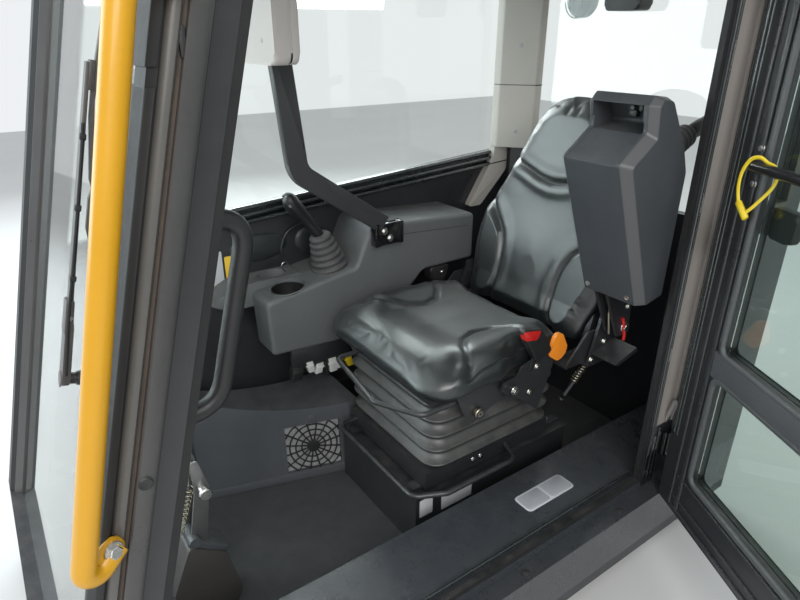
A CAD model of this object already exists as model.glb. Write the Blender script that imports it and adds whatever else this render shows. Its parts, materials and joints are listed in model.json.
"""Looks of the operator's cab of a compact track loader.

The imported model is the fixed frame. Each class dresses one sub-assembly: it
builds detailed pieces in metres, in the frame's own place, and rides each one
on the body that carries it.
"""
from __future__ import annotations

import json
import logging
import math
from dataclasses import dataclass
from enum import Enum
from typing import Callable, Iterable, Sequence

import bmesh
import bpy
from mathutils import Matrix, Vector, noise

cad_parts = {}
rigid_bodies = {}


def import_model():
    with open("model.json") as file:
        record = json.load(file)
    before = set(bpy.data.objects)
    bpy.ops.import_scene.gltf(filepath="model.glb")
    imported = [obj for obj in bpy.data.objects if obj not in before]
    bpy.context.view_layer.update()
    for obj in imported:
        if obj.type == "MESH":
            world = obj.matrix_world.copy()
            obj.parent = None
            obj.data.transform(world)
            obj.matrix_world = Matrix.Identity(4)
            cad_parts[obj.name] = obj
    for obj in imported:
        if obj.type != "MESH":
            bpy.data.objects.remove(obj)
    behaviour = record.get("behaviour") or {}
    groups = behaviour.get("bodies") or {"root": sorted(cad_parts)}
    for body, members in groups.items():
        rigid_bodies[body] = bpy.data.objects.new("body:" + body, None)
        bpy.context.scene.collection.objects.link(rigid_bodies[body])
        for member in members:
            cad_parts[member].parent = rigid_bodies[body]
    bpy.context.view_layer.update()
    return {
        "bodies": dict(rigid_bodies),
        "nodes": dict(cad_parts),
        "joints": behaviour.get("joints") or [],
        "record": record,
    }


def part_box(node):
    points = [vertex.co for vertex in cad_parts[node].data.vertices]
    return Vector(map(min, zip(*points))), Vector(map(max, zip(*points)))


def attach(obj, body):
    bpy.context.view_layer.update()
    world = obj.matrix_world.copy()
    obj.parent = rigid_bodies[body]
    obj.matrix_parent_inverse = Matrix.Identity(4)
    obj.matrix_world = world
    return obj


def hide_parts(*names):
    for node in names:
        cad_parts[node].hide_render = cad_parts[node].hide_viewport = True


LOG = logging.getLogger("cab")
Point = tuple[float, float, float]
Point2 = tuple[float, float]
Color = tuple[float, float, float]
ALONG_X = (1, 0, 0)
ALONG_Y = (0, 1, 0)
ALONG_Z = (0, 0, 1)
RAKE = 0.265
PILLAR_FOOT = 0.220
PILLAR_REAR = -0.764
GLASS_IOR = 1.45
SHEEN_ROUGHNESS = 0.4
RELIEF_HEIGHT = 0.001
WELD_DISTANCE = 0.000005
TIP_RADIUS = 0.00005
BEND_SHARE = 0.48
STRAIGHT_ANGLE = 0.02
CORNER_ANGLE = 35.0


class Grain(Enum):
    """Kinds of relief that a surface can carry."""

    COAT = "coat"
    MOULD = "mould"
    LEATHER = "leather"
    BRUSHED = "brushed"


class Axis(Enum):
    """The axis that a flat outline is drawn out along."""

    X = "x"
    Y = "y"
    Z = "z"


# ---- Shader node groups ----
class NodeTools:
    """Short ways to add and join shader nodes in one tree."""

    def __init__(self, tree: bpy.types.NodeTree) -> None:
        """Keep the tree.

        Args:
            tree: The node tree that is filled.
        """
        self.tree = tree

    def add(self, kind: str, **values: object) -> bpy.types.Node:
        """Add a node and set its attributes.

        Args:
            kind: The node's type name.
            **values: Attributes set on the node.

        Returns:
            The new node.
        """
        node = self.tree.nodes.new(kind)
        for key, value in values.items():
            setattr(node, key, value)
        return node

    def join(self, start: object, end: object) -> None:
        """Link an output socket to an input socket."""
        self.tree.links.new(start, end)

    def math(self, operation: str, first: object, second: object = 0.5, clamp: bool = False) -> object:
        """A Math node on sockets or numbers.

        Args:
            operation: The Math node's operation.
            first: A socket or a number.
            second: A socket or a number.
            clamp: Keep the result between 0 and 1.

        Returns:
            The output socket.
        """
        node = self.add("ShaderNodeMath", operation=operation, use_clamp=clamp)
        for index, value in enumerate((first, second)):
            if isinstance(value, (int, float)):
                node.inputs[index].default_value = value
            else:
                self.join(value, node.inputs[index])
        return node.outputs[0]

    def spread(self, value: object, low: float, high: float, out_low: float, out_high: float) -> object:
        """Map a value's range onto another.

        Args:
            value: The socket that is mapped.
            low: Start of the range.
            high: End of the range.
            out_low: Result at the start.
            out_high: Result at the end.

        Returns:
            The output socket.
        """
        node = self.add("ShaderNodeMapRange")
        self.join(value, node.inputs[0])
        for index, number in enumerate((low, high, out_low, out_high), start=1):
            node.inputs[index].default_value = number
        return node.outputs[0]

    def noise(self, vector: object, scale: object, detail: float = 3.0, rough: float = 0.55) -> object:
        """A noise texture's value.

        Args:
            vector: The coordinate socket.
            scale: A number or a socket.
            detail: Octaves of detail.
            rough: Strength of the finer octaves.

        Returns:
            The value socket.
        """
        node = self.add("ShaderNodeTexNoise")
        self.join(vector, node.inputs["Vector"])
        if isinstance(scale, (int, float)):
            node.inputs["Scale"].default_value = scale
        else:
            self.join(scale, node.inputs["Scale"])
        node.inputs["Detail"].default_value = detail
        node.inputs["Roughness"].default_value = rough
        return node.outputs[0]

    def place(self) -> object:
        """The socket of the object's own coordinates."""
        return self.add("ShaderNodeTexCoord").outputs["Object"]

    def mix(self, factor: object, first: object, second: object, end: bpy.types.Node) -> None:
        """Mix two shaders into an output node's surface.

        Args:
            factor: The factor socket.
            first: The first shader's socket.
            second: The second shader's socket.
            end: The output node.
        """
        node = self.add("ShaderNodeMixShader")
        for index, socket in enumerate((factor, first, second)):
            self.join(socket, node.inputs[index])
        self.join(node.outputs[0], end.inputs["Surface"])

    def blend(self, factor: object, first: object, second: object) -> object:
        """Mix two colours.

        Args:
            factor: The factor socket.
            first: A colour socket or value.
            second: A colour socket or value.

        Returns:
            The colour socket.
        """
        node = self.add("ShaderNodeMix", data_type="RGBA")
        self.join(factor, node.inputs[0])
        for index, value in ((6, first), (7, second)):
            if isinstance(value, tuple):
                node.inputs[index].default_value = (*value, 1.0)
            else:
                self.join(value, node.inputs[index])
        return node.outputs[2]


def new_group(name: str, inputs: Sequence[tuple[str, str, object]],
              outputs: Sequence[tuple[str, str]]) -> tuple:
    """Start a shader node group.

    Args:
        name: The group's name.
        inputs: Name, socket type and default of each input.
        outputs: Name and socket type of each output.

    Returns:
        The group, its tools, the input node and the output node.
    """
    group = bpy.data.node_groups.new(name, "ShaderNodeTree")
    for label, kind, value in inputs:
        socket = group.interface.new_socket(name=label, in_out="INPUT", socket_type=kind)
        socket.default_value = value
    for label, kind in outputs:
        group.interface.new_socket(name=label, in_out="OUTPUT", socket_type=kind)
    tools = NodeTools(group)
    return group, tools, tools.add("NodeGroupInput"), tools.add("NodeGroupOutput")


class Effects:
    """The shader node groups that materials share, each built once."""

    FLOAT = "NodeSocketFloat"
    COLOR = "NodeSocketColor"

    def __init__(self) -> None:
        """Start with no group built."""
        self.groups: dict[str, bpy.types.NodeTree] = {}

    def get(self, name: str) -> bpy.types.NodeTree:
        """The named group, built at its first use.

        Args:
            name: One of tone, relief, leather, brushed and dust.

        Returns:
            The node group.
        """
        builders = {"tone": self.build_tone, "relief": self.build_relief, "leather": self.build_leather,
                    "brushed": self.build_brushed, "dust": self.build_dust}
        if name not in self.groups:
            self.groups[name] = builders[name]()
        return self.groups[name]

    def build_tone(self) -> bpy.types.NodeTree:
        """Slow changes of tone over a surface.

        Returns:
            The group, from a colour to a varied colour and a mask.
        """
        group, tools, start, end = new_group("Tone",
                                             (("Color", self.COLOR, (0.5, 0.5, 0.5, 1)),
                                              ("Scale", self.FLOAT, 9.0), ("Amount", self.FLOAT, 0.15)),
                                             (("Color", self.COLOR), ("Mask", self.FLOAT)),)
        place = tools.place()
        broad = tools.noise(place, start.outputs["Scale"], 4.0, 0.6)
        fine = tools.noise(place, tools.math("MULTIPLY", start.outputs["Scale"], 17.0), 2.0)
        mask = tools.math("ADD", tools.math("MULTIPLY", broad, 0.75), tools.math("MULTIPLY", fine, 0.25))
        centred = tools.math("SUBTRACT", mask, 0.5)
        lift = tools.math("ADD", tools.math("MULTIPLY", centred,
                                            tools.math("MULTIPLY", start.outputs["Amount"], 4.0)), 1.0)
        scaled = tools.add("ShaderNodeVectorMath", operation="SCALE")
        tools.join(start.outputs["Color"], scaled.inputs[0])
        tools.join(lift, scaled.inputs["Scale"])
        tools.join(scaled.outputs[0], end.inputs["Color"])
        tools.join(mask, end.inputs["Mask"])
        return group

    def build_relief(self) -> bpy.types.NodeTree:
        """Fine pebbled relief of a coat or a moulding.

        Returns:
            The group, from a cell scale to a height.
        """
        group, tools, start, end = new_group(
            "Relief", (("Scale", self.FLOAT, 900.0),), (("Height", self.FLOAT),)
        )
        place = tools.place()
        cells = tools.add("ShaderNodeTexVoronoi", feature="SMOOTH_F1")
        tools.join(place, cells.inputs["Vector"])
        tools.join(start.outputs["Scale"], cells.inputs["Scale"])
        fine = tools.noise(place, tools.math("MULTIPLY", start.outputs["Scale"], 2.3), 2.0)
        height = tools.math("ADD", cells.outputs["Distance"], tools.math("MULTIPLY", fine, 0.5))
        tools.join(height, end.inputs["Height"])
        return group

    def build_leather(self) -> bpy.types.NodeTree:
        """Leathercloth grain: flat cells parted by creases, with slow swells.

        Returns:
            The group, from a cell scale to a height.
        """
        group, tools, start, end = new_group(
            "Leather", (("Scale", self.FLOAT, 420.0),), (("Height", self.FLOAT),)
        )
        place = tools.place()
        bent = tools.add("ShaderNodeTexNoise")
        tools.join(place, bent.inputs["Vector"])
        bent.inputs["Scale"].default_value = 60.0
        shift = tools.add("ShaderNodeVectorMath", operation="MULTIPLY_ADD")
        tools.join(bent.outputs["Color"], shift.inputs[0])
        shift.inputs[1].default_value = (0.004, 0.004, 0.004)
        tools.join(place, shift.inputs[2])
        cells = tools.add("ShaderNodeTexVoronoi", feature="DISTANCE_TO_EDGE")
        tools.join(shift.outputs[0], cells.inputs["Vector"])
        tools.join(start.outputs["Scale"], cells.inputs["Scale"])
        crease = tools.spread(cells.outputs["Distance"], 0.0, 0.16, 1.0, 0.0)
        swell = tools.noise(place, 38.0, 3.0)
        height = tools.math("SUBTRACT", tools.math("MULTIPLY", swell, 1.6),
                            tools.math("MULTIPLY", crease, 0.45))
        tools.join(height, end.inputs["Height"])
        return group

    def build_brushed(self) -> bpy.types.NodeTree:
        """Long fine streaks of a drawn or plated metal.

        Returns:
            The group, from a scale to a height.
        """
        group, tools, start, end = new_group(
            "Brushed", (("Scale", self.FLOAT, 300.0),), (("Height", self.FLOAT),)
        )
        place = tools.place()
        stretch = tools.add("ShaderNodeVectorMath", operation="MULTIPLY")
        tools.join(place, stretch.inputs[0])
        stretch.inputs[1].default_value = (1.0, 1.0, 0.06)
        tools.join(tools.noise(stretch.outputs[0], start.outputs["Scale"], 3.0), end.inputs["Height"])
        return group

    def build_dust(self) -> bpy.types.NodeTree:
        """A thin film of dust that lies on faces that look up.

        Returns:
            The group, from an amount to a mask.
        """
        group, tools, start, end = new_group(
            "Dust", (("Amount", self.FLOAT, 0.3), ("Scale", self.FLOAT, 22.0)), (("Mask", self.FLOAT),)
        )
        place = tools.add("ShaderNodeTexCoord")
        parts = tools.add("ShaderNodeSeparateXYZ")
        tools.join(place.outputs["Normal"], parts.inputs[0])
        facing = tools.spread(parts.outputs["Z"], 0.2, 1.0, 0.12, 1.0)
        cloud = tools.spread(tools.noise(place.outputs["Object"], start.outputs["Scale"], 6.0, 0.7), 0.38,
                             0.72, 0.0, 1.0)
        specks = tools.spread(tools.noise(place.outputs["Object"], 700.0, 1.0), 0.66, 0.74, 0.0, 0.6)
        film = tools.math("MAXIMUM", tools.math("MULTIPLY", cloud, facing),
                          tools.math("MULTIPLY", specks, facing))
        tools.join(tools.math("MULTIPLY", film, start.outputs["Amount"], clamp=True), end.inputs["Mask"])
        return group


EFFECTS = Effects()


# ---- Finishes ----
def new_material(name: str) -> tuple[bpy.types.Material, NodeTools, bpy.types.Node]:
    """Start a material with nodes.

    Args:
        name: The material's name.

    Returns:
        The material, its node tools and its Principled node.
    """
    material = bpy.data.materials.new(name)
    material.use_nodes = True
    return material, NodeTools(material.node_tree), material.node_tree.nodes["Principled BSDF"]


@dataclass(frozen=True)
class Relief:
    """The fine relief of a surface: its kind, its strength and its scale."""

    grain: Grain
    depth: float
    scale: float = 900.0


@dataclass(frozen=True)
class Finish:
    """One surface finish, and the record's material slot it belongs to."""

    name: str
    slot: str
    color: Color
    roughness: float = 0.5
    metallic: float = 0.0
    coat: float = 0.0
    coat_roughness: float = 0.1
    sheen: float = 0.0
    specular: float = 0.5
    relief: Relief | None = None
    tone: float = 0.1
    tone_scale: float = 9.0
    dust: float = 0.0
    dust_color: Color = (0.45, 0.42, 0.37)
    polish: float = 0.08

    def material(self) -> bpy.types.Material:
        """The finish as a material, built at its first use.

        Returns:
            The material.
        """
        found = bpy.data.materials.get(self.name)
        if found is not None:
            return found
        material, tools, shader = new_material(self.name)
        self.set_plain(shader)
        self.add_color(tools, shader)
        self.add_relief(tools, shader)
        return material

    def set_plain(self, shader: bpy.types.Node) -> None:
        """Set what is the same all over on the shader's own sockets.

        Args:
            shader: The Principled node.
        """
        shader.inputs["Metallic"].default_value = self.metallic
        shader.inputs["Specular IOR Level"].default_value = self.specular
        shader.inputs["Coat Weight"].default_value = self.coat
        shader.inputs["Coat Roughness"].default_value = self.coat_roughness
        shader.inputs["Sheen Weight"].default_value = self.sheen
        shader.inputs["Sheen Roughness"].default_value = SHEEN_ROUGHNESS

    def add_color(self, tools: NodeTools, shader: bpy.types.Node) -> None:
        """Tone and dust to the colour and the roughness.

        Args:
            tools: The material's node tools.
            shader: The Principled node.
        """
        tone = tools.add("ShaderNodeGroup")
        tone.node_tree = EFFECTS.get("tone")
        tone.inputs["Color"].default_value = (*self.color, 1.0)
        tone.inputs["Scale"].default_value = self.tone_scale
        tone.inputs["Amount"].default_value = self.tone
        color = tone.outputs["Color"]
        low = max(self.roughness - self.polish, 0.02)
        rough = tools.spread(tone.outputs["Mask"], 0.3, 0.7, low, min(self.roughness + self.polish, 1.0))
        if self.dust:
            dust = tools.add("ShaderNodeGroup")
            dust.node_tree = EFFECTS.get("dust")
            dust.inputs["Amount"].default_value = self.dust
            color = tools.blend(dust.outputs["Mask"], color, self.dust_color)
            rough = tools.math("ADD", rough, tools.math("MULTIPLY", dust.outputs["Mask"], 0.5), clamp=True)
        tools.join(color, shader.inputs["Base Color"])
        tools.join(rough, shader.inputs["Roughness"])

    def add_relief(self, tools: NodeTools, shader: bpy.types.Node) -> None:
        """Grain to the normal.

        Args:
            tools: The material's node tools.
            shader: The Principled node.
        """
        names = {Grain.COAT: "relief", Grain.MOULD: "relief", Grain.LEATHER: "leather",
                 Grain.BRUSHED: "brushed"}
        if self.relief is None:
            return
        relief = tools.add("ShaderNodeGroup")
        relief.node_tree = EFFECTS.get(names[self.relief.grain])
        relief.inputs["Scale"].default_value = self.relief.scale
        bump = tools.add("ShaderNodeBump")
        bump.inputs["Strength"].default_value = self.relief.depth
        bump.inputs["Distance"].default_value = RELIEF_HEIGHT
        tools.join(relief.outputs["Height"], bump.inputs["Height"])
        tools.join(bump.outputs[0], shader.inputs["Normal"])


@dataclass(frozen=True)
class Glass:
    """A clear or tinted pane that lets light through to what stands behind it."""

    name: str
    slot: str
    color: Color
    roughness: float = 0.02

    def material(self) -> bpy.types.Material:
        """The pane's material, built at its first use.

        Returns:
            The material.
        """
        found = bpy.data.materials.get(self.name)
        if found is not None:
            return found
        material, tools, shader = new_material(self.name)
        shader.inputs["Base Color"].default_value = (*self.color, 1.0)
        shader.inputs["Transmission Weight"].default_value = 1.0
        shader.inputs["IOR"].default_value = GLASS_IOR
        place = tools.place()
        film = tools.noise(place, 14.0, 5.0, 0.6)
        tools.join(tools.spread(film, 0.35, 0.75, self.roughness * 0.4, self.roughness * 1.8),
                   shader.inputs["Roughness"])
        clear = tools.add("ShaderNodeBsdfTransparent")
        clear.inputs["Color"].default_value = (*(0.5 + 0.5 * part for part in self.color), 1.0)
        path = tools.add("ShaderNodeLightPath")
        through = tools.math("MAXIMUM", path.outputs["Is Shadow Ray"], path.outputs["Is Diffuse Ray"])
        tools.mix(through, shader.outputs[0], clear.outputs[0], material.node_tree.nodes["Material Output"])
        return material


BLACK_COAT = Finish("black_coat", "black_paint", (0.022, 0.023, 0.026), 0.34, coat=0.25, coat_roughness=0.25,
                    relief=Relief(Grain.COAT, 0.12, 420.0), tone=0.12, dust=0.10)
SILL_COAT = Finish("sill_coat", "black_paint", (0.040, 0.044, 0.051), 0.28, coat=0.3, coat_roughness=0.2,
                   relief=Relief(Grain.COAT, 0.10, 380.0), tone=0.08, dust=0.04)
PILLAR_COAT = Finish("pillar_coat", "black_paint", (0.058, 0.056, 0.056), 0.33, coat=0.2, coat_roughness=0.3,
                     relief=Relief(Grain.COAT, 0.10, 420.0), tone=0.10, dust=0.10)
BEAD_COAT = Finish("bead_coat", "black_paint", (0.088, 0.084, 0.078), 0.34, coat=0.15, coat_roughness=0.3,
                   relief=Relief(Grain.COAT, 0.08, 420.0), tone=0.12, dust=0.10)
GROOVE_STAIN = Finish("groove_stain", "black_paint", (0.085, 0.062, 0.048), 0.6, tone=0.35, tone_scale=30.0)
BAR_COAT = Finish("bar_coat", "black_paint", (0.045, 0.045, 0.048), 0.42,
                  relief=Relief(Grain.COAT, 0.15, 500.0), tone=0.06)
GLOSS_COAT = Finish("gloss_coat", "black_paint", (0.008, 0.008, 0.009), 0.12, coat=0.8, coat_roughness=0.05,
                    tone=0.05)
RIDGE_COAT = Finish("ridge_coat", "black_paint", (0.040, 0.041, 0.045), 0.30, coat=0.3, coat_roughness=0.2,
                    tone=0.08, relief=Relief(Grain.COAT, 0.08, 420.0))
RAIL_COAT = Finish("rail_coat", "black_paint", (0.085, 0.086, 0.092), 0.42,
                   relief=Relief(Grain.COAT, 0.10, 420.0), tone=0.06, dust=0.06)
GRAB_COAT = Finish("grab_coat", "black_paint", (0.012, 0.012, 0.013), 0.22, coat=0.5, coat_roughness=0.15,
                   tone=0.1)
WIPER_COAT = Finish("wiper_coat", "black_paint", (0.055, 0.050, 0.047), 0.45, tone=0.15, dust=0.15)
FLOOR_COAT = Finish("floor_coat", "black_paint", (0.045, 0.046, 0.05), 0.5,
                    relief=Relief(Grain.COAT, 0.25, 300.0), tone=0.04, dust=0.04)
YELLOW_COAT = Finish("yellow_coat", "yellow_paint", (0.58, 0.290, 0.0008), 0.36, coat=0.3,
                     coat_roughness=0.15, relief=Relief(Grain.COAT, 0.08, 240.0), tone=0.05, dust=0.05)
PALE_TRIM = Finish("pale_trim", "grey_trim", (0.50, 0.47, 0.43), 0.55,
                   relief=Relief(Grain.MOULD, 0.25, 1100.0), tone=0.04, dust=0.05)
PALE_CASE = Finish("pale_case", "grey_trim", (0.62, 0.57, 0.55), 0.5, relief=Relief(Grain.MOULD, 0.2, 1200.0),
                   tone=0.03)
TAUPE_TRIM = Finish("taupe_trim", "grey_trim", (0.27, 0.245, 0.222), 0.5,
                    relief=Relief(Grain.MOULD, 0.15, 1100.0), tone=0.05)
PIPE_GREY = Finish("pipe_grey", "grey_trim", (0.26, 0.25, 0.24), 0.4, coat=0.2, tone=0.1)
BEAD_GREY = Finish("bead_grey", "grey_trim", (0.075, 0.078, 0.082), 0.42, tone=0.08, dust=0.1)
FILTER_PALE = Finish("filter_pale", "grey_trim", (0.30, 0.30, 0.305), 0.8,
                     relief=Relief(Grain.MOULD, 0.9, 260.0), tone=0.3, tone_scale=60.0)
WHITE_MOULD = Finish("white_mould", "grey_trim", (0.62, 0.62, 0.60), 0.4, coat=0.2, tone=0.06)
LAMP_LENS = Finish("lamp_lens_clear", "grey_trim", (0.55, 0.57, 0.60), 0.08, coat=0.8, coat_roughness=0.03,
                   tone=0.04)
HEADLINING = Finish("headlining", "grey_trim", (0.42, 0.41, 0.39), 0.8,
                    relief=Relief(Grain.MOULD, 0.5, 500.0), tone=0.06)
ROOF_SHEEN = Finish("roof_sheen", "roof_paint", (0.05, 0.05, 0.055), 0.4, coat=0.3, coat_roughness=0.2,
                    relief=Relief(Grain.COAT, 0.1, 300.0), dust=0.3)
CONSOLE_MOULD = Finish("console_mould", "console_plastic", (0.115, 0.122, 0.128), 0.45,
                       relief=Relief(Grain.MOULD, 0.35, 850.0), tone=0.08, dust=0.18)
KICK_MOULD = Finish("kick_mould", "console_plastic", (0.072, 0.077, 0.086), 0.36,
                    relief=Relief(Grain.MOULD, 0.25, 700.0), tone=0.12, dust=0.12)
POD_MOULD = Finish("pod_mould", "console_plastic", (0.048, 0.052, 0.059), 0.46,
                   relief=Relief(Grain.MOULD, 0.5, 620.0), tone=0.08, dust=0.08)
POD_BAND = Finish("pod_band_mould", "console_plastic", (0.082, 0.082, 0.085), 0.34,
                  relief=Relief(Grain.MOULD, 0.15, 900.0), tone=0.05)
BLACK_MOULD = Finish("black_mould", "black_plastic", (0.018, 0.018, 0.019), 0.38,
                     relief=Relief(Grain.MOULD, 0.2, 900.0), tone=0.1, dust=0.06)
GRIP_MOULD = Finish("grip_mould", "black_plastic", (0.016, 0.016, 0.017), 0.40,
                    relief=Relief(Grain.MOULD, 0.12, 1200.0), tone=0.08)
GREY_BUTTON = Finish("grey_button", "black_plastic", (0.16, 0.16, 0.17), 0.4, tone=0.05)
PEDAL_MOULD = Finish("pedal_mould", "black_plastic", (0.056, 0.052, 0.050), 0.5,
                     relief=Relief(Grain.MOULD, 0.2, 800.0), tone=0.12, dust=0.12)
RUBBER = Finish("seal_rubber", "black_rubber", (0.012, 0.012, 0.013), 0.55, specular=0.4, tone=0.15,
                relief=Relief(Grain.MOULD, 0.1, 1500.0), dust=0.08)
BELT_RUBBER = Finish("belt_rubber", "black_rubber", (0.016, 0.021, 0.022), 0.24, specular=1.0, coat=0.8,
                     coat_roughness=0.15, tone=0.12)
WALL_MOULD = Finish("wall_mould", "black_plastic", (0.022, 0.026, 0.027), 0.35,
                    relief=Relief(Grain.MOULD, 0.15, 800.0), tone=0.1, dust=0.05)
BELLOWS_RUBBER = Finish("bellows_rubber", "black_rubber", (0.044, 0.044, 0.045), 0.40, specular=0.8,
                        tone=0.10, relief=Relief(Grain.MOULD, 0.2, 900.0), dust=0.18)
BOOT_RUBBER = Finish("boot_rubber", "black_rubber", (0.062, 0.062, 0.064), 0.5, tone=0.1,
                     relief=Relief(Grain.MOULD, 0.2, 1100.0), dust=0.18)
VINYL = Finish("seat_vinyl", "seat_cover", (0.007, 0.010, 0.012), 0.38, specular=0.8, sheen=0.04, coat=0.7,
               coat_roughness=0.28, relief=Relief(Grain.LEATHER, 0.16, 520.0), tone=0.06, dust=0.05,
               polish=0.05)
SEAM = Finish("seam_thread", "seat_cover", (0.010, 0.010, 0.011), 0.45, tone=0.05)
ZINC = Finish("zinc", "bright_steel", (0.62, 0.61, 0.58), 0.28, metallic=1.0,
              relief=Relief(Grain.BRUSHED, 0.1), tone=0.08)
STAINED_STEEL = Finish("stained_steel", "bright_steel", (0.40, 0.36, 0.28), 0.35, metallic=1.0,
                       relief=Relief(Grain.BRUSHED, 0.15), tone=0.2)
ARM_STEEL = Finish("arm_steel", "bright_steel", (0.22, 0.22, 0.22), 0.42, metallic=0.8,
                   relief=Relief(Grain.BRUSHED, 0.15), tone=0.2, dust=0.15)
ORANGE_MOULD = Finish("orange_mould", "orange_plastic", (0.85, 0.26, 0.02), 0.35, coat=0.2, tone=0.04)
RED_MOULD = Finish("red_mould", "orange_plastic", (0.55, 0.02, 0.018), 0.3, coat=0.3, tone=0.04)
TIE_YELLOW = Finish("tie_yellow", "yellow_paint", (0.80, 0.58, 0.02), 0.4, coat=0.2, tone=0.06)
WHITE_PLATE = Finish("white_plate", "grey_trim", (0.62, 0.63, 0.66), 0.4, coat=0.2, tone=0.04)
GREY_PLATE = Finish("grey_plate", "grey_trim", (0.42, 0.43, 0.46), 0.4, coat=0.2, tone=0.04)
YELLOW_PLATE = Finish("yellow_plate", "yellow_paint", (0.85, 0.55, 0.03), 0.4, coat=0.2, tone=0.04)
SCREEN_GLASS = Finish("screen_glass", "black_plastic", (0.006, 0.007, 0.009), 0.08, coat=0.6,
                      coat_roughness=0.03, tone=0.02)
CLEAR_GLASS = Glass("clear_glass", "tinted_glass", (0.93, 0.97, 0.94))
DOOR_GLASS = Glass("door_glass_tint", "tinted_glass", (0.62, 0.74, 0.68))


# ---- Mesh tools ----
def cross(axis: Axis, first: float, second: float, along: float) -> Vector:
    """A point from an outline's two coordinates and its place along the axis.

    Args:
        axis: The outline's axis.
        first: First coordinate in the outline: y, x or x.
        second: Second coordinate in the outline: z, z or y.
        along: Place along the axis.

    Returns:
        The point.
    """
    if axis is Axis.X:
        return Vector((along, first, second))
    if axis is Axis.Y:
        return Vector((first, along, second))
    return Vector((first, second, along))


def rounded(corners: Sequence[Sequence[float]], radius: float | Sequence[float], steps: int = 5,
            closed: bool = True) -> list[Vector]:
    """A polyline with its corners turned to arcs.

    Args:
        corners: The corner points, in two or three dimensions.
        radius: One bend radius, or one for each corner.
        steps: Points in each arc.
        closed: Join the last corner to the first.

    Returns:
        The points of the rounded line.
    """
    points = [Vector((*corner, 0.0)) if len(corner) == 2 else Vector(corner) for corner in corners]
    count = len(points)
    radii = [radius] * count if isinstance(radius, (int, float)) else list(radius)
    result: list[Vector] = []
    for index, point in enumerate(points):
        if not closed and index in (0, count - 1):
            result.append(point)
            continue
        before = points[index - 1] - point
        after = points[(index + 1) % count] - point
        angle = before.angle(after, math.pi)
        if radii[index] <= 0 or angle > math.pi - STRAIGHT_ANGLE:
            result.append(point)
            continue
        reach = min(radii[index] / math.tan(angle / 2), BEND_SHARE * before.length, BEND_SHARE * after.length)
        first = point + before.normalized() * reach
        last = point + after.normalized() * reach
        for step in range(steps + 1):
            part = step / steps
            low = first.lerp(point, part)
            high = point.lerp(last, part)
            result.append(low.lerp(high, part))
    return result


def rectangle(low: Point2, high: Point2) -> list[Point2]:
    """The corners of an upright rectangle between two of its corners."""
    return [(low[0], low[1]), (high[0], low[1]), (high[0], high[1]), (low[0], high[1])]


def turns(count: int) -> list[float]:
    """The angles of points spread evenly round a circle."""
    return [2 * math.pi * step / count for step in range(count)]


def smooth_line(points: Sequence[Sequence[float]], steps: int = 8) -> list[Vector]:
    """A smooth line through points.

    Args:
        points: The points that the line goes through.
        steps: Parts between two points.

    Returns:
        The points of the line.
    """
    knots = [Vector(point) for point in points]
    knots = [2 * knots[0] - knots[1], *knots, 2 * knots[-1] - knots[-2]]
    result = []
    for index in range(1, len(knots) - 2):
        a, b, c, d = knots[index - 1:index + 3]
        for step in range(steps):
            t = step / steps
            result.append(0.5 * ((2 * b) + (c - a) * t + (2 * a - 5 * b + 4 * c - d) * t**2
                                 + (3 * b - a - 3 * c + d) * t**3))
    result.append(knots[-2])
    return result


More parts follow.
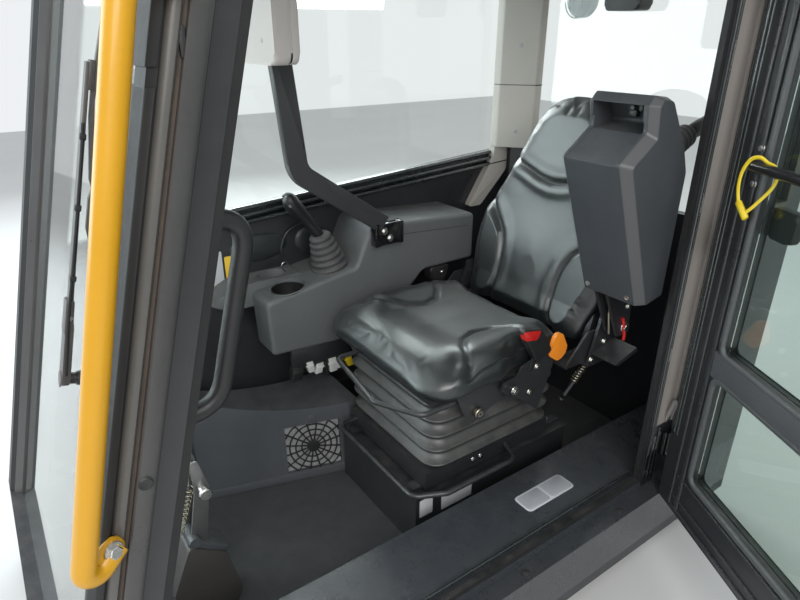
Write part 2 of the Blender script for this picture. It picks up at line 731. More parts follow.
class Form:
    """A mesh in the making, with the shapes that this cab's pieces need."""

    def __init__(self) -> None:
        """Start with an empty mesh."""
        self.bm = bmesh.new()

    def loft(self, rings: Sequence[Sequence[Vector]], closed: bool = True, caps: bool = True) -> None:
        """Skin a row of rings that have the same number of points.

        Args:
            rings: The rings in order.
            closed: Join each ring's last point to its first.
            caps: Close the first and last ring.
        """
        rows = [[self.bm.verts.new(point) for point in ring] for ring in rings]
        count = len(rows[0])
        for low, high in zip(rows, rows[1:]):
            for index in range(count if closed else count - 1):
                after = (index + 1) % count
                self.bm.faces.new((low[index], low[after], high[after], high[index]))
        if caps:
            self.bm.faces.new(list(reversed(rows[0])))
            self.bm.faces.new(rows[-1])

    def prism(self, corners: Sequence[Sequence[float]], axis: Axis, low: float, high: float,
              edge: float = 0.002, lean: float = 0.0, segments: int = 2) -> None:
        """A flat outline drawn out along an axis, with its edges rounded.

        Args:
            corners: The outline's corners or points.
            axis: The axis that it is drawn out along.
            low: Start along the axis.
            high: End along the axis.
            edge: Radius of the rounded edges.
            lean: Shift in Y for each metre along Z, for an outline drawn out along Z.
            segments: Parts in each rounded edge.
        """
        rows = []
        for along in (low, high):
            row = [cross(axis, point[0], point[1], along) for point in corners]
            if lean:
                row = [point + Vector((0, lean * (along - low), 0)) for point in row]
            rows.append([self.bm.verts.new(point) for point in row])
        faces = [self.bm.faces.new(rows[0]), self.bm.faces.new(list(reversed(rows[1])))]
        count = len(corners)
        for index in range(count):
            after = (index + 1) % count
            faces.append(self.bm.faces.new((rows[0][after], rows[0][index], rows[1][index], rows[1][after])))
        if edge > 0:
            edges = list(dict.fromkeys(item for face in faces[:2] for item in face.edges))
            for index in range(count):
                span = rows[0][index].co - rows[0][index - 1].co
                after = rows[0][(index + 1) % count].co - rows[0][index].co
                if span.angle(after, 0.0) > math.radians(CORNER_ANGLE):
                    joined = self.bm.edges.get((rows[0][index], rows[1][index]))
                    edges.append(joined)
            bmesh.ops.bevel(self.bm, geom=edges, offset=edge, segments=segments, profile=0.5, affect="EDGES",
                            clamp_overlap=True)

    def slab(self, corners: Sequence[Sequence[float]], radius: float | Sequence[float], steps: int,
             axis: Axis, low: float, high: float, edge: float = 0.002, lean: float = 0.0,
             segments: int = 2) -> None:
        """A flat outline with turned corners drawn out along an axis.

        Args:
            corners: The outline's corners.
            radius: One corner radius, or one for each corner.
            steps: Points in each corner's arc.
            axis: The axis that it is drawn out along.
            low: Start along the axis.
            high: End along the axis.
            edge: Radius of the rounded edges.
            lean: Shift in Y for each metre along Z.
            segments: Parts in each rounded edge.
        """
        self.prism(rounded(corners, radius, steps), axis, low, high, edge, lean, segments)

    def block(self, low: Sequence[float], high: Sequence[float], edge: float = 0.002,
              segments: int = 2) -> None:
        """A box between two corners with rounded edges.

        Args:
            low: The lowest corner.
            high: The highest corner.
            edge: Radius of the rounded edges.
            segments: Parts in each rounded edge.
        """
        self.prism(rectangle(low[:2], high[:2]), Axis.Z, low[2], high[2], edge, segments=segments)

    def tube(self, line: Sequence[Vector], radius: float | Callable[[float], float], sides: int = 16,
             caps: bool = True, flat: float = 1.0, up: Sequence[float] = ALONG_Z) -> None:
        """A round or flattened bar along a line.

        Args:
            line: The points of the line.
            radius: One radius, or a function of the share of the length.
            sides: Points round the bar.
            caps: Close the ends.
            flat: Thickness across the line as a share of the width.
            up: The direction that the flat side faces.
        """
        line = [Vector(point) for point in line]
        total = sum((b - a).length for a, b in zip(line, line[1:]))
        gone = 0.0
        normal = Vector(up)
        rings = []
        for index, point in enumerate(line):
            ahead = line[min(index + 1, len(line) - 1)] - line[max(index - 1, 0)]
            tangent = ahead.normalized()
            normal = (normal - tangent * normal.dot(tangent)).normalized()
            side = tangent.cross(normal)
            if index:
                gone += (point - line[index - 1]).length
            size = radius(gone / total) if callable(radius) else radius
            rings.append([point + side * (size * math.cos(turn)) + normal * (size * flat * math.sin(turn))
                          for turn in turns(sides)])
        self.loft(rings, caps=caps)

    def turned(self, profile: Sequence[Point2], centre: Sequence[float], axis: Sequence[float],
               sides: int = 32) -> None:
        """A profile of radius and height turned round an axis, and closed flat at its ends.

        Args:
            profile: Pairs of radius and height. An end on the axis is used as it is.
            centre: The point at height nought.
            axis: The direction of the axis.
            sides: Points round it.
        """
        turn = Vector(axis).normalized().to_track_quat("Z", "Y").to_matrix()
        base = Vector(centre)
        start = () if profile[0][0] == 0 else ((0, profile[0][1]),)
        end = () if profile[-1][0] == 0 else ((0, profile[-1][1]),)
        rings = []
        for radius, height in (*start, *profile, *end):
            size = max(radius, TIP_RADIUS)
            rings.append([base + turn @ Vector((size * math.cos(a), size * math.sin(a), height))
                          for a in turns(sides)])
        self.loft(rings)

    def stud(self, shoulder: Point2, top: Point2, centre: Sequence[float], axis: Sequence[float],
             sides: int = 32) -> None:
        """A round stud that narrows from its shoulder to its flat top.

        Args:
            shoulder: Radius and height of the shoulder.
            top: Radius and height of the top.
            centre: The point at height nought.
            axis: The direction of the axis.
            sides: Points round it.
        """
        self.turned(((shoulder[0], 0), shoulder, top), centre, axis, sides)

    def bolt(self, centre: Sequence[float], axis: Sequence[float], size: float = 0.009) -> None:
        """A hexagonal head on a washer.

        Args:
            centre: The point where the washer lies.
            axis: The direction that the head points.
            size: Radius of the head.
        """
        self.turned(((0, 0), (size * 1.35, 0), (size * 1.45, size * 0.08), (size * 1.35, size * 0.22),
                     (0, size * 0.22)), centre, axis, 24)
        start = Vector(centre) + Vector(axis).normalized() * size * 0.2
        self.turned(((0, 0), (size, 0), (size, size * 0.55), (size * 0.86, size * 0.68), (0, size * 0.68)),
                    start, axis, 6)

    def warp(self, change: Callable[[Vector], Vector]) -> None:
        """Move every point.

        Args:
            change: A function from a point to its new place.
        """
        for vert in self.bm.verts:
            vert.co = change(vert.co)

    def to_mesh(self, name: str) -> bpy.types.Mesh:
        """The form as a mesh. The form can't be used after it.

        Args:
            name: The mesh's name.

        Returns:
            The mesh.
        """
        mesh = bpy.data.meshes.new(name)
        self.bm.to_mesh(mesh)
        self.bm.free()
        return mesh

    def to_object(self, name: str) -> bpy.types.Object:
        """The form as an object in the scene.

        Args:
            name: The object's name.

        Returns:
            The object.
        """
        result = bpy.data.objects.new(name, self.to_mesh(name))
        bpy.context.scene.collection.objects.link(result)
        return result

    def piece(self, name: str, body: str, finish: Finish | Glass, replaces: Sequence[str] = (),
              angle: float = 32.0, levels: int = 0) -> bpy.types.Object:
        """Turn the mesh into a piece that rides on a body.

        Args:
            name: The piece's name.
            body: The body that carries it.
            finish: Its finish.
            replaces: The model's nodes that it stands for.
            angle: Edges sharper than this stay sharp, in degrees.
            levels: Levels of subdivision.

        Returns:
            The piece.
        """
        bmesh.ops.remove_doubles(self.bm, verts=self.bm.verts, dist=WELD_DISTANCE)
        bmesh.ops.recalc_face_normals(self.bm, faces=self.bm.faces)
        result = self.to_object(name)
        result.data.shade_smooth()
        result.data.set_sharp_from_angle(angle=math.radians(angle))
        result.data.materials.append(finish.material())
        if levels:
            smoothed(result, levels)
        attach(result, body)
        if replaces:
            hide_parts(*replaces)
        LOG.info("piece %s on %s", name, body)
        return result


def smoothed(target: bpy.types.Object, levels: int) -> None:
    """Add levels of smoothing subdivision.

    Args:
        target: The object.
        levels: How many levels.
    """
    modifier = target.modifiers.new("Subdivision", "SUBSURF")
    modifier.levels = levels
    modifier.render_levels = levels


def mm(*values: float) -> tuple[float, ...]:
    """Millimetres to metres."""
    return tuple(value / 1000 for value in values)


def mm_all(points: Iterable[Sequence[float]]) -> list[tuple[float, ...]]:
    """Points in millimetres to points in metres."""
    return [mm(*point) for point in points]


def dress(nodes: dict[str, bpy.types.Object], finishes: dict[str, Finish | Glass]) -> None:
    """Give nodes of the model their finishes.

    Args:
        nodes: The model's nodes by name.
        finishes: The finish of each named node.
    """
    for name, finish in finishes.items():
        mesh = nodes[name].data
        mesh.materials.clear()
        mesh.materials.append(finish.material())


# ---- Seat ----
def eased(value: float, low: float, high: float) -> float:
    """A smooth step from 0 at low to 1 at high."""
    share = min(max((value - low) / (high - low), 0.0), 1.0)
    return share * share * (3 - 2 * share)


def bent(value: float, power: float) -> float:
    """A sine or cosine bent so that a ring of them is a rounded square."""
    return math.copysign(abs(value)**power, value)


def bell(distance: float, width: float) -> float:
    """1 at no distance, which fades out over a width."""
    return math.exp(-(distance / width)**2)


def corner_loss(distance: float, radius: float) -> float:
    """How far a round corner draws a side in at a distance from the end."""
    if distance >= radius:
        return 0.0
    return radius - math.sqrt(max(radius**2 - (radius - distance)**2, 0.0))


def table(pairs: Sequence[Point2], place: float) -> float:
    """A value read between the rows of a table.

    Args:
        pairs: Rows of place and value, in rising order of place.
        place: The place that is looked up.

    Returns:
        The value there.
    """
    if place <= pairs[0][0]:
        return pairs[0][1]
    for (low, first), (high, last) in zip(pairs, pairs[1:]):
        if place <= high:
            return first + (last - first) * (place - low) / (high - low)
    return pairs[-1][1]


def distance_to(line: Sequence[Point2], first: float, second: float) -> float:
    """The distance from a flat point to a line of flat points.

    Args:
        line: The line's points.
        first: The point's first coordinate.
        second: The point's second coordinate.

    Returns:
        The distance.
    """
    best = 1e9
    for (ax, ay), (bx, by) in zip(line, line[1:]):
        dx, dy = bx - ax, by - ay
        share = ((first - ax) * dx + (second - ay) * dy) / max(dx * dx + dy * dy, 1e-12)
        share = min(max(share, 0.0), 1.0)
        best = min(best, math.hypot(first - ax - share * dx, second - ay - share * dy))
    return best


@dataclass
class SoftPad:
    """A stuffed pad: a drawn shape that is remeshed, blown up and then sewn."""

    name: str
    body: str
    node: str
    voxel: float = 0.006
    pressure: float = 4.0
    cap: float = 0.008
    fill: float = 0.8
    frames: int = 20
    quality: int = 4
    mass: float = 0.3
    stretch: float = 12.0
    bending: float = 4.0

    def raw(self, form: Form) -> bpy.types.Object:
        """The drawn shape as a plain object.

        Args:
            form: The mesh in the making.

        Returns:
            The object.
        """
        bmesh.ops.recalc_face_normals(form.bm, faces=form.bm.faces)
        return form.to_object(self.name)

    def apply(self, target: bpy.types.Object) -> None:
        """Turn the modified shape into the object's own mesh.

        Args:
            target: The object with modifiers.
        """
        graph = bpy.context.evaluated_depsgraph_get()
        mesh = bpy.data.meshes.new_from_object(target.evaluated_get(graph))
        target.modifiers.clear()
        target.data = mesh

    def remesh(self, target: bpy.types.Object) -> None:
        """Give the shape even faces.

        Args:
            target: The object.
        """
        modifier = target.modifiers.new("Remesh", "REMESH")
        modifier.mode = "VOXEL"
        modifier.voxel_size = self.voxel
        self.apply(target)

    def inflate(self, target: bpy.types.Object) -> None:
        """Blow the cover up with cloth, no further than the cap.

        Args:
            target: The object.
        """
        rest = [vert.co.copy() for vert in target.data.vertices]
        cloth = target.modifiers.new("Cloth", "CLOTH")
        settings = cloth.settings
        settings.quality = self.quality
        settings.mass = self.mass
        settings.tension_stiffness = self.stretch
        settings.compression_stiffness = self.stretch
        settings.bending_stiffness = self.bending
        settings.use_pressure = True
        settings.uniform_pressure_force = self.pressure
        settings.effector_weights.gravity = 0.0
        scene = bpy.context.scene
        cloth.point_cache.frame_start = 1
        cloth.point_cache.frame_end = self.frames
        for frame in range(1, self.frames + 1):
            scene.frame_set(frame)
        self.apply(target)
        scene.frame_set(1)
        for vert, start in zip(target.data.vertices, rest):
            move = vert.co - start
            if move.length > self.cap:
                vert.co = start + move.normalized() * self.cap

    def subdivide(self, target: bpy.types.Object) -> None:
        """One level of smoothing subdivision.

        Args:
            target: The object.
        """
        smoothed(target, 1)
        self.apply(target)

    def finish(self, target: bpy.types.Object, finish: Finish) -> None:
        """Dress the pad and put it on its body.

        Args:
            target: The object.
            finish: Its finish.
        """
        target.data.shade_smooth()
        target.data.materials.clear()
        target.data.materials.append(finish.material())
        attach(target, self.body)
        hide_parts(self.node)
        LOG.info("pad %s on %s", self.name, self.body)

    def sew(self, form: Form, shape: Callable[[Vector], Vector], finish: Finish) -> bpy.types.Object:
        """Make the pad from its drawn shape.

        Args:
            form: The drawn shape.
            shape: The change that lays seams and flats into the blown-up pad.
            finish: Its finish.

        Returns:
            The pad.
        """
        target = self.raw(form)
        self.remesh(target)
        self.inflate(target)
        self.subdivide(target)
        for vert in target.data.vertices:
            vert.co = shape(vert.co)
        self.finish(target, finish)
        return target


def welt(pad: bpy.types.Object, name: str, body: str, lines: Sequence[Sequence[Point]], toward: Point,
         radius: float, finish: Finish, depth: float = 0.0) -> None:
    """Sewn welts that lie on a pad's surface.

    Args:
        pad: The pad.
        name: The piece's name.
        body: The body that carries it.
        lines: Lines of points off the surface.
        toward: The direction from the points to the surface.
        radius: The welt's radius.
        finish: Its finish.
        depth: How far the welt is sunk.
    """
    direction = Vector(toward).normalized()
    form = Form()
    for line in lines:
        laid = []
        for point in smooth_line(line, 10):
            hit, place, _, _ = pad.ray_cast(point, direction)
            if hit:
                laid.append(place + direction * depth)
        if len(laid) > 3:
            kept = [laid[0], *[(a + 2 * b + c) / 4 for a, b, c in zip(laid, laid[1:], laid[2:])], laid[-1]]
            form.tube(kept, radius, 8, up=tuple(-direction))
    form.piece(name, body, finish, angle=80)


@dataclass
class Cushion:
    """The seat cushion: dished between two wings, with a rolled front edge."""

    low: Point = (-0.249, -0.075, 0.5125)
    high: Point = (0.249, 0.366, 0.590)
    waist: float = 0.226
    waist_start: float = 0.138
    waist_end: float = 0.183
    corner: float = 0.085
    rear_corner: float = 0.05
    rows: int = 44
    steps: int = 72
    side_power: float = 0.34
    face_power: float = 0.42
    widest: float = 0.2525
    seam_height: float = 0.66
    crease: tuple[Point2, ...] = (
        (0.262, 0.005), (0.222, 0.048), (0.160, 0.078), (0.118, 0.118), (0.100, 0.165),
        (0.112, 0.212), (0.150, 0.246), (0.226, 0.262),
    )
    crest: tuple[Point2, ...] = ((0.262, -0.018), (0.243, 0.018), (0.232, 0.060), (0.231, 0.110),
                                 (0.222, 0.165), (0.212, 0.210), (0.208, 0.258))

    def half_width(self, y: float) -> float:
        """The cushion's half width at a depth."""
        drawn = eased(y, self.waist_start - 0.02, self.waist_end + 0.02)
        side = self.high[0] - (self.high[0] - self.waist) * drawn
        side -= corner_loss(y - self.low[1], self.corner)
        side -= corner_loss(self.high[1] - y, self.rear_corner)
        return max(side, 0.02)

    def top(self, x: float, y: float) -> float:
        """Height of the upper face."""
        across = abs(x) / self.half_width(y)
        wing = 0.016 * eased(abs(x), 0.10, 0.20) * eased(y, 0.0, 0.10) * (1 - 0.5 * eased(y, 0.24, 0.32))
        dish = -0.014 * (1 - eased(abs(x), 0.06, 0.17)) * eased(y, 0.01, 0.12)
        nose = -0.012 * (1 - eased(y, self.low[1], self.low[1] + 0.09))
        return self.high[2] - 0.006 + wing + dish + nose - 0.010 * across**6

    def drawn(self) -> Form:
        """The cushion's drawn shape: rings from front to back.

        Returns:
            The form.
        """
        form = Form()
        rings = []
        for row in range(self.rows + 1):
            share = row / self.rows
            y = self.low[1] + (self.high[1] - self.low[1]) * (0.5 - 0.5 * math.cos(math.pi * share))
            half = self.half_width(y)
            front = eased(y, self.low[1] - 0.012, self.low[1] + 0.052)
            back = eased(self.high[1] - y, -0.008, 0.035)
            ring = []
            for turn in turns(self.steps):
                c, s = math.cos(turn), math.sin(turn)
                x = half * bent(c, self.side_power)
                upper = self.top(x, y)
                middle = 0.5 * (upper + self.low[2]) - 0.004
                reach = upper - middle if s > 0 else middle - self.low[2]
                z = middle + bent(s, self.face_power) * reach
                z = middle + (z - middle) * (0.30 + 0.70 * min(front, back))
                ring.append(Vector((x, y, z)))
            rings.append(ring)
        form.loft(rings)
        return form

    def sewn(self, point: Vector) -> Vector:
        """Seams, the dish and the flat underside on the blown-up cushion.

        Args:
            point: A point of the mesh.

        Returns:
            Its new place.
        """
        x, y, z = point
        if z > 0.548:
            inner = distance_to(self.crease, abs(x), y)
            z -= 0.0055 * bell(inner, 0.008) * eased(z, 0.552, 0.572)
            outer = distance_to(self.crest, abs(x), y)
            z -= 0.0065 * bell(outer, 0.0055) * eased(z, 0.550, 0.566)
            pucker = distance_to(((0.262, -0.030), (0.236, 0.005), (0.214, 0.030)), abs(x), y)
            z += 0.005 * bell(pucker, 0.014)
        x = math.copysign(min(abs(x), self.widest), x)
        z = min(max(z, self.low[2]), 0.604)
        return Vector((x, min(max(y, -0.080), 0.3695), z))

    def build(self) -> None:
        """Build the cushion and its seams."""
        pad = SoftPad("seat_cushion_cover", "seat", "seat_cushion")
        cushion = pad.sew(self.drawn(), self.sewn, VINYL)
        lines = []
        for side in (-1, 1):
            for seam in (self.crest[1:], self.crease[1:-1]):
                lines.append([(side * x, y, self.seam_height) for x, y in seam])
        welt(cushion, "cushion_welts", "seat", lines, (0, 0, -1), 0.0011, SEAM, 0.0004)


@dataclass
class Backrest:
    """The tall backrest: waisted outline, side bolsters and a headrest panel."""

    outline: tuple[Point2, ...] = ((0.522, 0.205), (0.545, 0.219), (0.580, 0.226), (0.622, 0.241),
                                   (0.665, 0.249), (0.715, 0.250), (0.760, 0.243), (0.801, 0.229),
                                   (0.860, 0.201), (0.910, 0.179), (0.960, 0.160), (1.000, 0.146),
                                   (1.040, 0.127), (1.070, 0.104), (1.092, 0.074), (1.104, 0.036),
                                   (1.107, 0.0))
    front: tuple[Point2, ...] = ((0.522, 0.398), (0.560, 0.410), (0.609, 0.430), (0.700, 0.456),
                                 (0.800, 0.484), (0.918, 0.517), (1.065, 0.556), (1.107, 0.572))
    back: tuple[Point2, ...] = ((0.522, 0.452), (0.609, 0.516), (0.700, 0.545), (0.800, 0.575),
                                (0.918, 0.610), (1.080, 0.626), (1.107, 0.612))
    bolster_seam: tuple[Point2, ...] = (
        (0.240, 0.812), (0.200, 0.787), (0.160, 0.757), (0.130, 0.726), (0.114, 0.695), (0.106, 0.650),
        (0.105, 0.605), (0.112, 0.560), (0.126, 0.520),
    )
    head_seam: tuple[Point2, ...] = (
        (-0.180, 0.934), (-0.152, 0.922), (-0.092, 0.905), (-0.040, 0.889), (0.0, 0.884), (0.040, 0.889),
        (0.092, 0.905), (0.152, 0.922), (0.180, 0.934),
    )

    low_z: float = 0.5225
    high_z: float = 1.1055
    rows: int = 60
    steps: int = 72
    side_power: float = 0.42
    face_power: float = 0.52
    widest: float = 0.2535
    seam_depth: float = 0.0075
    seam_width: float = 0.0062

    def half_width(self, z: float) -> float:
        """Half width of the outline at a height."""
        return table(self.outline, z)

    def drawn(self) -> Form:
        """The backrest's drawn shape: rings from the bottom to the top.

        Returns:
            The form.
        """
        form = Form()
        rings = []
        for row in range(self.rows + 1):
            share = row / self.rows
            z = self.low_z + (self.high_z - self.low_z) * (0.5 - 0.5 * math.cos(math.pi * share))
            half = max(self.half_width(z), 0.012)
            low, high = table(self.front, z), table(self.back, z)
            middle = 0.5 * (low + high) + 0.004
            close = min(eased(1.112 - z, 0.0, 0.045), eased(z, 0.500, 0.548))
            ring = []
            for turn in turns(self.steps):
                c, s = math.cos(turn), math.sin(turn)
                x = half * bent(c, self.side_power)
                reach = (middle - low) if s < 0 else (high - middle)
                y = middle + bent(s, self.face_power) * reach * (0.34 + 0.66 * close)
                if s < 0:
                    y += self.relief(x, z) * abs(s)**0.5
                ring.append(Vector((x, y, z)))
            rings.append(ring)
        form.loft(rings)
        return form

    def relief(self, x: float, z: float) -> float:
        """How far the front stands back or forward of its plain face."""
        inner = table([(height, width) for width, height in reversed(self.bolster_seam)], z)
        part = eased(abs(x), inner - 0.015, inner + 0.05) * (1 - eased(z, 0.76, 0.83))
        lumbar = 0.010 * bell(z - 0.655, 0.09) * (1 - eased(abs(x), 0.05, 0.12))
        return 0.010 - 0.016 * part - lumbar + 0.006 * bell(z - 0.80, 0.07)

    def sewn(self, point: Vector) -> Vector:
        """Seams in the front face.

        Args:
            point: A point of the mesh.

        Returns:
            Its new place.
        """
        x, y, z = point
        face = table(self.front, z)
        if y < face + 0.045:
            fade = 1 - eased(y, face + 0.02, face + 0.045)
            side = distance_to(self.bolster_seam, abs(x), z)
            head = distance_to(self.head_seam, x, z)
            sink = (self.seam_depth * bell(side, self.seam_width)
                    + self.seam_depth * bell(head, self.seam_width))
            swell = 0.0045 * (bell(side - 0.022, 0.016) + bell(head - 0.022, 0.016))
            y += (sink - swell) * fade
        x = math.copysign(min(abs(x), self.widest), x)
        return Vector((x, min(max(y, face - 0.006), 0.634), min(max(z, 0.5215), 1.1095)))

    def build(self) -> None:
        """Build the backrest and its seams."""
        pad = SoftPad("backrest_cover", "backrest", "backrest_pad")
        back = pad.sew(self.drawn(), self.sewn, VINYL)
        lines = [[(side * x, 0.30, z) for x, z in self.bolster_seam[1:]] for side in (-1, 1)]
        lines.append([(x, 0.30, z) for x, z in self.head_seam])
        welt(back, "backrest_welts", "backrest", lines, (0, 1, 0.0), 0.0012, SEAM, 0.0003)


@dataclass
class Bellows:
    """The rubber bellows that hide the suspension: folds with thin ridges."""

    low_z: float = 0.285
    high_z: float = 0.500
    half: float = 0.197
    front: float = -0.0335
    back: float = 0.3885
    folds: int = 5
    corner: float = 0.055

    def ring(self, z: float, inset: float) -> list[Vector]:
        """One rounded ring of the bellows.

        Args:
            z: Its height.
            inset: How far it is drawn in.

        Returns:
            Its points.
        """
        corners = (
            (-self.half + inset, self.front + inset, z), (self.half - inset, self.front + inset, z),
            (self.half - inset, self.back - inset, z), (-self.half + inset, self.back - inset, z),
        )
        return rounded(corners, self.corner, 8)

    def build(self) -> None:
        """Build the folds."""
        form = Form()
        rings = []
        pitch = (self.high_z - self.low_z) / self.folds
        for fold in range(self.folds):
            start = self.low_z + fold * pitch
            draw = 0.006 * (1 - fold / self.folds)
            for share, inset in (
                (0.02, 0.017), (0.12, 0.0155), (0.28, 0.010), (0.40, 0.0045), (0.445, 0.0018), (0.47, 0.0002),
                (0.53, 0.0002), (0.555, 0.0018), (0.60, 0.0048), (0.72, 0.011), (0.88, 0.0158), (0.98, 0.017),
            ):
                rings.append(self.ring(start + share * pitch, inset + draw))
        form.loft(rings)
        form.piece("bellows_folds", "seat", BELLOWS_RUBBER, ("seat_bellows",), angle=70)


@dataclass
class SeatHardware:
    """Buckle, release lever, height knob and small fasteners of the seat."""

    stalk_x: float = 0.229

    def buckle(self) -> None:
        """The belt buckle with its press button."""
        outer = self.stalk_x + 0.0052
        form = Form()
        body = rounded(mm_all(((169, 645), (235, 631), (280, 562), (231, 542))), 0.009, 5)
        form.prism(body, Axis.X, outer, outer + 0.0175, 0.003, segments=3)
        form.prism(mm_all(((218, 520), (232, 514), (256, 560), (234, 570))), Axis.X, outer, outer + 0.004,
                   0.0008)
        form.piece("buckle_case", "seat", BLACK_MOULD, ("seat_buckle",))
        button = Form()
        face = rounded(mm_all(((175, 640), (233, 628), (222, 607), (183, 615))), 0.004, 4)
        button.prism(face, Axis.X, outer + 0.004, outer + 0.0188, 0.0015)
        button.piece("buckle_button", "seat", RED_MOULD)

    def lever(self) -> None:
        """The release lever."""
        outer = self.stalk_x + 0.005
        form = Form()
        blade = rounded(mm_all(((282, 540), (298, 599), (322, 590), (348, 542), (318, 514))), 0.014, 6)
        form.prism(blade, Axis.X, outer, outer + 0.010, 0.0035, segments=3)
        form.piece("lever_blade", "seat", ORANGE_MOULD, ("release_lever",))

    def fasteners(self) -> None:
        """Bolt heads on the side plates and the plinth."""
        form = Form()
        for place, size in (((0.243, 0.172, 0.484), 0.008), ((0.2355, 0.250, 0.520), 0.006),
                            ((0.2355, 0.232, 0.455), 0.006)):
            form.bolt(place, ALONG_X, size)
        for y in (0.12, 0.145):
            form.bolt((0.1722, y, 0.262), ALONG_X, 0.0055)
        form.piece("seat_bolts", "seat", ZINC)
        knob = Form()
        knob.turned(((0, 0), (0.0125, 0), (0.0135, 0.002), (0.0135, 0.011), (0.011, 0.0135), (0.006, 0.014),
                     (0, 0.0135)), (0.2192, 0.077, 0.450), ALONG_X, 28)
        knob.piece("height_knob", "seat", STAINED_STEEL)

    def labels(self) -> None:
        """Blank plates on the plinth's side."""
        form = Form()
        form.slab(mm_all(rectangle((20, 150), (120, 205))), 0.003, 3, Axis.X, 0.1721, 0.1727, 0.0002)
        form.slab(mm_all(rectangle((-48, 160), (-8, 212))), 0.003, 3, Axis.X, 0.1721, 0.1727, 0.0002)
        form.piece("plinth_plates", "cab", WHITE_PLATE)

    def build(self) -> None:
        """Build all of it."""
        self.buckle()
        self.lever()
        self.fasteners()
        self.labels()


# ---- Carving tools ----
def carved(base: Form, cutters: Sequence[Form], edge: float = 0.0, segments: int = 3,
           angle: float = 28.0) -> Form:
    """Cut shapes out of a form and round the edges that are left.

    Args:
        base: The form that is cut.
        cutters: The forms that are taken away.
        edge: Radius of the rounded edges.
        segments: Parts in each rounded edge.
        angle: Edges sharper than this are rounded, in degrees.

    Returns:
        The carved form.
    """
    blanks = []
    for form in (base, *cutters):
        bmesh.ops.recalc_face_normals(form.bm, faces=form.bm.faces)
        blanks.append(form.to_object("blank"))
    for tool in blanks[1:]:
        modifier = blanks[0].modifiers.new("Cut", "BOOLEAN")
        modifier.operation = "DIFFERENCE"
        modifier.solver = "EXACT"
        modifier.object = tool
    if edge:
        modifier = blanks[0].modifiers.new("Round", "BEVEL")
        modifier.width = edge
        modifier.segments = segments
        modifier.limit_method = "ANGLE"
        modifier.angle_limit = math.radians(angle)
    graph = bpy.context.evaluated_depsgraph_get()
    mesh = bpy.data.meshes.new_from_object(blanks[0].evaluated_get(graph))
    result = Form()
    result.bm.from_mesh(mesh)
    for blank in blanks:
        bpy.data.objects.remove(blank)
    return result


def inset(outline: Sequence[Point2], amounts: float | Sequence[float]) -> list[Point2]:
    """Move each edge of a closed flat outline inward.

    Args:
        outline: The outline's corners.
        amounts: One amount, or one for each edge, which starts at its corner.

    Returns:
        The new corners.
    """
    count = len(outline)
    shifts = [amounts] * count if isinstance(amounts, (int, float)) else list(amounts)
    area = sum(a[0] * b[1] - b[0] * a[1] for a, b in zip(outline, (*outline[1:], outline[0])))
    sign = 1.0 if area > 0 else -1.0
    lines = []
    for index, (ax, ay) in enumerate(outline):
        bx, by = outline[(index + 1) % count]
        length = math.hypot(bx - ax, by - ay)
        nx, ny = -(by - ay) / length * sign, (bx - ax) / length * sign
        lines.append((nx, ny, nx * ax + ny * ay + shifts[index]))
    corners = []
    for index in range(count):
        (a, b, c), (d, e, f) = lines[index - 1], lines[index]
        scale = a * e - b * d
        corners.append(((c * e - b * f) / scale, (a * f - c * d) / scale))
    return corners


def ribbed(origin: Sequence[float], axis: Sequence[float], length: float, foot: float, neck: float, ribs: int,
           depth: float) -> Form:
    """A folded rubber boot with round ribs.

    Args:
        origin: The centre of its foot.
        axis: The direction to its neck.
        length: Its length.
        foot: Radius at the foot.
        neck: Radius at the neck.
        ribs: Number of ribs.
        depth: How far the ribs stand out.

    Returns:
        The form.
    """
    form = Form()
    profile = [(0.0, 0.0), (foot * 1.04, 0.0), (foot * 1.06, length * 0.03)]
    pitch = 0.94 / ribs
    for rib in range(ribs):
        for share, out in ((0.0, 0.0), (0.16, 0.10), (0.38, 0.62), (0.55, 0.95), (0.66, 1.0), (0.78, 0.86),
                           (0.90, 0.30)):
            place = 0.04 + (rib + share) * pitch
            bell = 1 - place**0.8
            profile.append((neck + (foot - neck) * bell + depth * out * (0.6 + 0.4 * bell), place * length))
    profile += [(neck, length * 0.985), (neck * 0.9, length), (0.0, length)]
    form.turned(profile, origin, axis, 48)
    return form


def coil(start: Sequence[float], end: Sequence[float], radius: float, wire: float, turns: int) -> Form:
    """A wire spring between two points.

    Args:
        start: Centre of one end.
        end: Centre of the other end.
        radius: Radius of the turns.
        wire: Radius of the wire.
        turns: Number of turns.

    Returns:
        The form.
    """
    low, high = Vector(start), Vector(end)
    turn = (high - low).normalized().to_track_quat("Z", "Y").to_matrix()
    steps = 14
    line = []
    for step in range(turns * steps + 1):
        share = step / (turns * steps)
        angle = 2 * math.pi * step / steps
        spot = Vector((radius * math.cos(angle), radius * math.sin(angle), 0))
        line.append(low.lerp(high, share) + turn @ spot)
    form = Form()
    form.tube(line, wire, 7)
    return form


